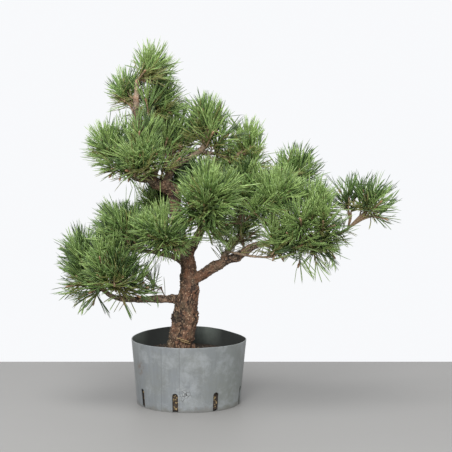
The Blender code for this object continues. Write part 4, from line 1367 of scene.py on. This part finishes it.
def pot_material():
    """Grey plastic gone chalky: upright streaks, pale blotches, seams, scratches and a dirty foot."""
    tint = colours().pot
    pot = Finish("pot_plastic")
    across = pot.axis(0)
    rough = pot.noise(120.0, 4.0, 0.6)
    streaks = pot.patches(0.35, 0.7, 130.0, 4.0, 0.65, places=pot.own_places((1.0, 1.0, 0.06)))
    blotches = pot.patches(0.48, 0.66, 34.0, 6.0, 0.72, 0.15)
    scuffs = pot.patches(0.62, 0.74, 90.0, 6.0, 0.7, 1.5, places=pot.own_places((1.0, 1.0, 3.0)))
    lime = pot.combined(pot.near((-10, -92, 34), 3, 20), pot.between(rough, 0.44, 0.56))
    lines = pot.node("ShaderNodeTexVoronoi", {"Vector": pot.places, "Scale": 170.0},
                     feature="DISTANCE_TO_EDGE")
    scratch = pot.between(lines.outputs["Distance"], 0.03, 0.09, 1.0, 0.0)
    scratch = pot.combined(scratch, pot.near((-5, -93, 31), 8, 14))
    smear = pot.combined(pot.near((-83, -50, 72), 6, 17), pot.between(rough, 0.4, 0.6))
    pot.face = pot.mixed(streaks, shaded(tint, 0.90), shaded(tint, 1.10))
    pot.coats(
        (pot.patches(0.42, 0.64, 17.0, 4.0, 0.68), 0.5, (0.155, 0.160, 0.135)),
        (pot.between(across, 20 * MM, 75 * MM), 0.4, (0.165, 0.180, 0.155)),
        (blotches, 0.6, (0.30, 0.32, 0.335)),
        (scuffs, 0.45, (0.085, 0.088, 0.085)),
        (lime, 0.7, (0.34, 0.355, 0.35)),
        (scratch, pot.between(rough, 0.45, 0.55), (0.03, 0.03, 0.03)),
        (smear, 0.7, (0.13, 0.09, 0.06)))
    for seam in SEAMS:
        away = pot.combined(pot.combined(across, seam * MM, "SUBTRACT"), 0.0, "ABSOLUTE")
        line = pot.between(away, 0.3 * MM, 1.0 * MM, 0.4, 0.0)
        pot.face = pot.mixed(line, pot.face, shaded(tint, 0.45))
    ragged = pot.combined(pot.noise(60.0, 5.0, 0.7), 26 * MM)
    foot = pot.between(pot.combined(pot.axis(2), ragged, "SUBTRACT"), -10 * MM, -4 * MM, 0.5, 0.0)
    pot.face = pot.mixed(foot, pot.face, (0.12, 0.11, 0.09))
    relief = pot.combined(streaks, scuffs, "ADD")
    return pot.done(pot.between(blotches, 0.0, 1.0, 0.46, 0.7), relief, 0.25, 0.4 * MM)


def pot_inside_material():
    """The pot's inner wall: dark plastic, near black by painted shade low down and left of the middle,
    lighter and greenish on the right and near the rim by painted light.
    """
    wall = Finish("pot_inside")
    across = wall.axis(0)
    fine = wall.noise(400.0)
    # Painted light and shade: the wall stays near black except at the far left and in a patch right of the
    # middle, more so near the rim
    left = wall.between(across, -92 * MM, -74 * MM, 1.0, 0.0)
    fading = wall.between(across, 34 * MM, 60 * MM, 1.0, 0.0)
    lit_patch = wall.combined(wall.between(across, -4 * MM, 16 * MM), fading)
    side = wall.combined(wall.combined(left, 0.6), wall.combined(lit_patch, 0.9), "ADD")
    height = wall.between(wall.axis(2), 90 * MM, 116 * MM, 0.25, 1.0)
    crust = wall.patches(0.42, 0.66, 30.0, 5.0, 0.65)
    face = wall.mixed(crust, (0.105, 0.125, 0.110), (0.170, 0.195, 0.172))
    # Near-black base as painted shade, lighter crusted face as painted light
    wall.face = wall.mixed(wall.combined(side, height), (0.020, 0.023, 0.021), face)
    return wall.done(wall.between(fine, 0.0, 1.0, 0.6, 0.85), fine, 0.2, 0.3 * MM)


class PINE_OT_pot(bpy.types.Operator):
    """The cut-down pot with its drain slots"""

    bl_idname = "pine.pot"
    bl_label = "Pot"

    def execute(self, context):
        places, quads, triangles = turned_arrays(pot_profile(), POT_SIDES)
        places = out_of_round(places)
        turn = np.arctan2(places[:, 1], places[:, 0])
        circle = np.column_stack([np.cos(turn), np.sin(turn), places[:, 2] * 6])
        share = places[:, 2] / POT_HEIGHT
        wave = (soft_noise(circle * 3.5 + 9, 61) - 0.5) * RIM_WAVE * share
        places[:, :2] += unit(places[:, :2]) * wave[:, None]
        cut = (soft_noise(circle * np.array((5, 5, 0)), 63) - 0.5) * RIM_RAGGED
        cut += RIM_BACK_RISE * np.maximum(np.sin(turn), 0) ** 2
        cut -= (1.6 + 0.8 * np.cos(turn)) * MM * np.cos(turn) ** 4
        places[:, 2] += cut * ramp(share, 0.8, 1.0)
        mesh = mesh_from_arrays("pot_wall", places, [quads, triangles])
        piece = add_piece("pot_wall", mesh, pot_material(), ["pot"])
        mesh.materials.append(pot_inside_material())
        for face in mesh.polygons:
            outward = face.normal.x * face.center.x + face.normal.y * face.center.y
            floor = face.normal.z > 0.9 and face.center.z < POT_HEIGHT / 2
            if floor or outward < -0.2 * face.center.xy.length:
                face.material_index = 1
        slots = bpy.data.collections.new("slot cutters")
        for index in range(SLOT_COUNT):
            slot_cutter(index, slots)
        context.scene.collection.children.link(slots)
        cutting = piece.modifiers.new("slots", "BOOLEAN")
        cutting.operand_type = "COLLECTION"
        cutting.collection = slots
        cutting.solver = "EXACT"
        graph = context.evaluated_depsgraph_get()
        piece.data = bpy.data.meshes.new_from_object(piece.evaluated_get(graph))
        piece.modifiers.clear()
        piece.data.set_sharp_from_angle(angle=math.radians(40))
        for tool in list(slots.objects):
            bpy.data.objects.remove(tool, do_unlink=True)
        bpy.data.collections.remove(slots)
        if not piece.data.polygons:
            raise RuntimeError("the slots could not be cut")
        return {"FINISHED"}


# Soil

CRUMB_COUNT = 900
GRIT_COUNT = 150
FALLEN_COUNT = 30
SLOT_BITS = 22
SOIL_RISE_MAX = 1.5 * MM
SOIL_REACH = 92 * MM
# The soil's top falls off between these distances from the middle
SOIL_EDGE = (0.075, 0.094)
GRIT = (0.42, 0.33, 0.22)
GOLDEN_BITS = (0.26, 0.19, 0.09)
STRAW = (0.36, 0.25, 0.12)
# Two straws across the foot of the trunk: places along each, and its radius
STRAWS = [(((-20, -26, 121), (-10, -30, 119), (1, -27, 115)), 0.9),
          (((-14, -29, 117), (-5, -29, 114), (3, -24, 111)), 0.7)]


def soil_radius(height):
    """Radius of the soil at a height."""
    lean = (POT_RIM_RADIUS - POT_FOOT_RADIUS) / POT_HEIGHT
    return POT_FOOT_RADIUS - POT_WALL - SOIL_CLEARANCE + lean * height


def soil_rise(places):
    """How far the soil's top stands above or below its level."""
    flat = np.column_stack([places[:, :2], np.zeros(len(places))])
    hills = (soft_noise(flat / (26 * MM), 71) - 0.62) * 6 * MM
    return np.minimum(hills + (soft_noise(flat / (5 * MM), 72) - 0.5) * 2 * MM, SOIL_RISE_MAX)


def soil_material(name, colour, low, high):
    """Crumbly soil or bits in it."""
    soil = Finish(name)
    crumbs = soil.noise(320.0, 4.0, 0.65)
    soil.face = soil.mixed(soil.between(crumbs, 0.35, 0.7), shaded(colour, low), shaded(colour, high))
    soil.coats((soil.patches(0.35, 0.65, 70.0), 0.4, shaded(colour, high * 1.3)))
    return soil.done(soil.between(crumbs, 0.3, 0.7, 0.98, 0.8), crumbs, 0.8, 0.8 * MM)


class PINE_OT_soil(bpy.types.Operator):
    """The block of soil that fills the pot"""

    bl_idname = "pine.soil"
    bl_label = "Soil"

    def execute(self, context):
        foot = SOIL_LOW.z
        level = SOIL_HIGH.z
        top = [(soil_radius(level) * share, level) for share in np.linspace(0, 1, 40)]
        side = [(soil_radius(height), height) for height in np.linspace(level, foot, 40)[1:]]
        places, quads, triangles = turned_arrays(top + side + [(0.0, foot)], 180)
        places = out_of_round(places)
        across = np.linalg.norm(places[:, :2], axis=1)
        on_top = np.abs(places[:, 2] - level) < 0.01 * MM
        fade = 1 - ramp(across, *SOIL_EDGE)
        places[:, 2] += np.where(on_top, soil_rise(places) * (0.3 + 0.7 * fade), 0)
        lumps = soft_noise(places / (4 * MM), 73) * 1.6 * MM + soft_noise(places / (11 * MM), 74) * 2 * MM
        inward = np.where(on_top | (places[:, 2] < foot + 0.01 * MM), 0, lumps)
        places[:, :2] -= unit(places[:, :2]) * inward[:, None]
        mesh = mesh_from_arrays("soil_block", places, [quads[:, ::-1], triangles[:, ::-1]])
        material = soil_material("soil", colours().soil, 0.6, 1.6)
        add_piece("soil_block", mesh, material, ["soil"])
        return {"FINISHED"}


def pebble_arrays(place, size, rng):
    """One crumb: a ball of twenty faces, squashed and knocked out of shape."""
    golden = (1 + math.sqrt(5)) / 2
    corners = np.array([(-1, golden, 0), (1, golden, 0), (-1, -golden, 0), (1, -golden, 0), (0, -1, golden),
                        (0, 1, golden), (0, -1, -golden), (0, 1, -golden), (golden, 0, -1), (golden, 0, 1),
                        (-golden, 0, -1), (-golden, 0, 1)]) / 1.9
    faces = np.array([(0, 11, 5), (0, 5, 1), (0, 1, 7), (0, 7, 10), (0, 10, 11), (1, 5, 9), (5, 11, 4),
                      (11, 10, 2), (10, 7, 6), (7, 1, 8), (3, 9, 4), (3, 4, 2), (3, 2, 6), (3, 6, 8),
                      (3, 8, 9), (4, 9, 5), (2, 4, 11), (6, 2, 10), (8, 6, 7), (9, 8, 1)])
    stretch = rng.uniform(0.6, 1.3, 3) * size
    turn = rng.uniform(0, math.tau)
    spun = np.array([[math.cos(turn), -math.sin(turn), 0], [math.sin(turn), math.cos(turn), 0], [0, 0, 1]])
    shape = corners * rng.uniform(0.8, 1.15, (12, 1)) * stretch
    return shape @ spun.T + place, np.zeros((0, 4), int), faces


def soil_spots(count, rng, near):
    """Places on the soil's top, clear of trunk and wall; near is the share that lies by the trunk."""
    spots = []
    trunk = np.array(TRUNK[0][0][:2]) * MM
    while len(spots) < count:
        if rng.random() < near:
            spot = trunk + rng.normal(0, 22 * MM, 2)
        else:
            spot = rng.uniform(-1, 1, 2) * SOIL_REACH
        if np.linalg.norm(spot) < 88 * MM and np.linalg.norm(spot - trunk) > 25 * MM:
            spots.append(spot)
    spots = np.array(spots)
    return np.column_stack([spots, SOIL_HIGH.z + soil_rise(spots)])


def slot_bits(rng):
    """Bits of soil that show in the slots."""
    joined = Joined()
    for index in range(SLOT_COUNT):
        for _ in range(SLOT_BITS):
            height = rng.uniform(5 * MM, SLOT_HEIGHT)
            out = soil_radius(height) - rng.uniform(1.2, 3.2) * MM
            turn = slot_angle(index) + rng.uniform(-5, 5) * MM / out
            place = np.array((out * math.cos(turn), out * math.sin(turn), height))
            joined.add(*pebble_arrays(place, rng.uniform(0.7, 2.0) * MM, rng))
    return joined


def fallen_needles(rng):
    """Straws on the trunk's foot, and dry needles that lie about on the soil."""
    joined = Joined()
    for run, wide in STRAWS:
        run = smooth_run(np.array(run) * MM, 4)
        joined.add(*tube_arrays(run, np.full(len(run), wide * MM), 5))
    for place in soil_spots(FALLEN_COUNT, rng, 0.5):
        turn = rng.uniform(0, math.tau)
        aim = np.array((math.cos(turn), math.sin(turn), 0.02))
        length = rng.uniform(22, 40) * MM
        end = place + aim * length
        if np.linalg.norm(end[:2]) > SOIL_REACH:
            end = place - aim * length * 0.5
        bow = (place + end) / 2 + np.array((rng.normal(0, 2), rng.normal(0, 2), 0.8)) * MM
        run = smooth_run([place + UP * 1.2 * MM, bow + UP * 1.2 * MM, end + UP * 1.5 * MM], 3)
        joined.add(*tube_arrays(run, np.full(len(run), 0.55 * MM), 4))
    return joined


class PINE_OT_crumbs(bpy.types.Operator):
    """Crumbs, grit and fallen needles on the soil, and bits in the slots"""

    bl_idname = "pine.crumbs"
    bl_label = "Crumbs and fallen needles"

    def execute(self, context):
        rng = np.random.default_rng(GROWTH_SEED + 2)
        kinds = (
            ("soil_crumbs", CRUMB_COUNT, (0.8, 2.6), 0.3, colours().soil, (0.7, 1.9)),
            ("soil_grit", GRIT_COUNT, (0.7, 1.7), 0.6, GRIT, (0.6, 1.5)),
        )
        for name, count, (small, large), near, colour, shades in kinds:
            joined = Joined()
            for place in soil_spots(count, rng, near):
                joined.add(*pebble_arrays(place, rng.uniform(small, large) * MM, rng))
            add_piece(name, joined.mesh(name), soil_material(name, colour, *shades))
        gold = soil_material("slot_bits", GOLDEN_BITS, 0.35, 1.5)
        add_piece("slot_bits", slot_bits(rng).mesh("slot_bits"), gold)
        straw = soil_material("fallen_needles", STRAW, 0.6, 1.2)
        add_piece("fallen_needles", fallen_needles(rng).mesh("fallen_needles"), straw)
        return {"FINISHED"}


# Stage

CAMERA_PITCH = math.radians(7.28)
CAMERA_LENS = 157.9
SENSOR_WIDTH = 36.0
FLOOR_BACK = 0.37
FLOOR_REACH = 5.0
SKY_COLOUR = (0.97, 0.98, 1.0, 1.0)
SKY_STRENGTH = 0.97
# Soft lamps: name, place, what each is aimed at, its width and its power
LAMPS = [("key", (-0.45, -3.1, 2.1), (0.0, 0.0, 0.35), 1.8, 118.0),
         ("top", (-0.3, -0.6, 2.7), (0.0, 0.0, 0.3), 1.6, 55.0)]


def floor_material():
    """A pale floor with a faint grain."""
    tint = colours().floor
    floor = Finish("pale_floor")
    floor.face = floor.mixed(floor.patches(0.3, 0.7, 9.0, 5.0), shaded(tint, 0.97), shaded(tint, 1.03))
    return floor.done(0.6)


def soft_light(name, place, target, size, power):
    """A large soft lamp aimed at a place."""
    lamp = bpy.data.lights.new(name, "AREA")
    lamp.shape = "DISK"
    lamp.size = size
    lamp.energy = power
    thing = bpy.data.objects.new(name, lamp)
    bpy.context.scene.collection.objects.link(thing)
    thing.location = place
    thing.rotation_euler = (Vector(target) - Vector(place)).to_track_quat("-Z", "Y").to_euler()


class PINE_OT_stage(bpy.types.Operator):
    """The floor, the soft light and the camera"""

    bl_idname = "pine.stage"
    bl_label = "Stage"

    def execute(self, context):
        scene = context.scene
        bpy.ops.mesh.primitive_plane_add(size=1.0)
        floor = context.object
        floor.name = "floor"
        floor.scale = (2 * FLOOR_REACH, FLOOR_REACH + FLOOR_BACK, 1.0)
        floor.location = (0.0, (FLOOR_BACK - FLOOR_REACH) / 2, 0.0)
        floor.data.materials.append(floor_material())

        world = bpy.data.worlds.new("studio")
        world.use_nodes = True
        sky = world.node_tree.nodes["Background"]
        sky.inputs["Color"].default_value = SKY_COLOUR
        sky.inputs["Strength"].default_value = SKY_STRENGTH
        scene.world = world
        for lamp in LAMPS:
            soft_light(*lamp)

        camera = bpy.data.cameras.new("camera")
        camera.lens = CAMERA_LENS
        camera.sensor_width = SENSOR_WIDTH
        thing = bpy.data.objects.new("camera", camera)
        scene.collection.objects.link(thing)
        thing.location = CAMERA_PLACE
        thing.rotation_euler = (math.pi / 2 - CAMERA_PITCH, 0.0, 0.0)
        scene.camera = thing
        scene.view_settings.view_transform = "Standard"
        return {"FINISHED"}


STEPS = ("bark", "twigs", "buds", "needles", "pot", "soil", "crumbs", "stage")


class PINE_PT_panel(bpy.types.Panel):
    """Sidebar panel with every step and its values"""

    bl_idname = "PINE_PT_panel"
    bl_label = "Potted Pine"
    bl_space_type = "VIEW_3D"
    bl_region_type = "UI"
    bl_category = "Potted Pine"

    def draw(self, context):
        layout = self.layout
        for step in STEPS:
            layout.operator(f"pine.{step}")
        for group in (context.scene.pine_sizes, context.scene.pine_colours):
            box = layout.box()
            for key in group.__annotations__:
                box.prop(group, key)


CLASSES = (PineSizes, PineColours, PINE_OT_bark, PINE_OT_twigs, PINE_OT_buds, PINE_OT_needles,
           PINE_OT_pot, PINE_OT_soil, PINE_OT_crumbs, PINE_OT_stage, PINE_PT_panel)


def register():
    """Add the classes and the scene's values."""
    for item in CLASSES:
        bpy.utils.register_class(item)
    bpy.types.Scene.pine_sizes = bpy.props.PointerProperty(type=PineSizes)
    bpy.types.Scene.pine_colours = bpy.props.PointerProperty(type=PineColours)


def unregister():
    """Take the classes and the scene's values away."""
    del bpy.types.Scene.pine_colours
    del bpy.types.Scene.pine_sizes
    for item in reversed(CLASSES):
        bpy.utils.unregister_class(item)


def main():
    """Make every piece and the stage."""
    register()
    for step in STEPS:
        getattr(bpy.ops.pine, step)()


if __name__ == "__main__":
    main()
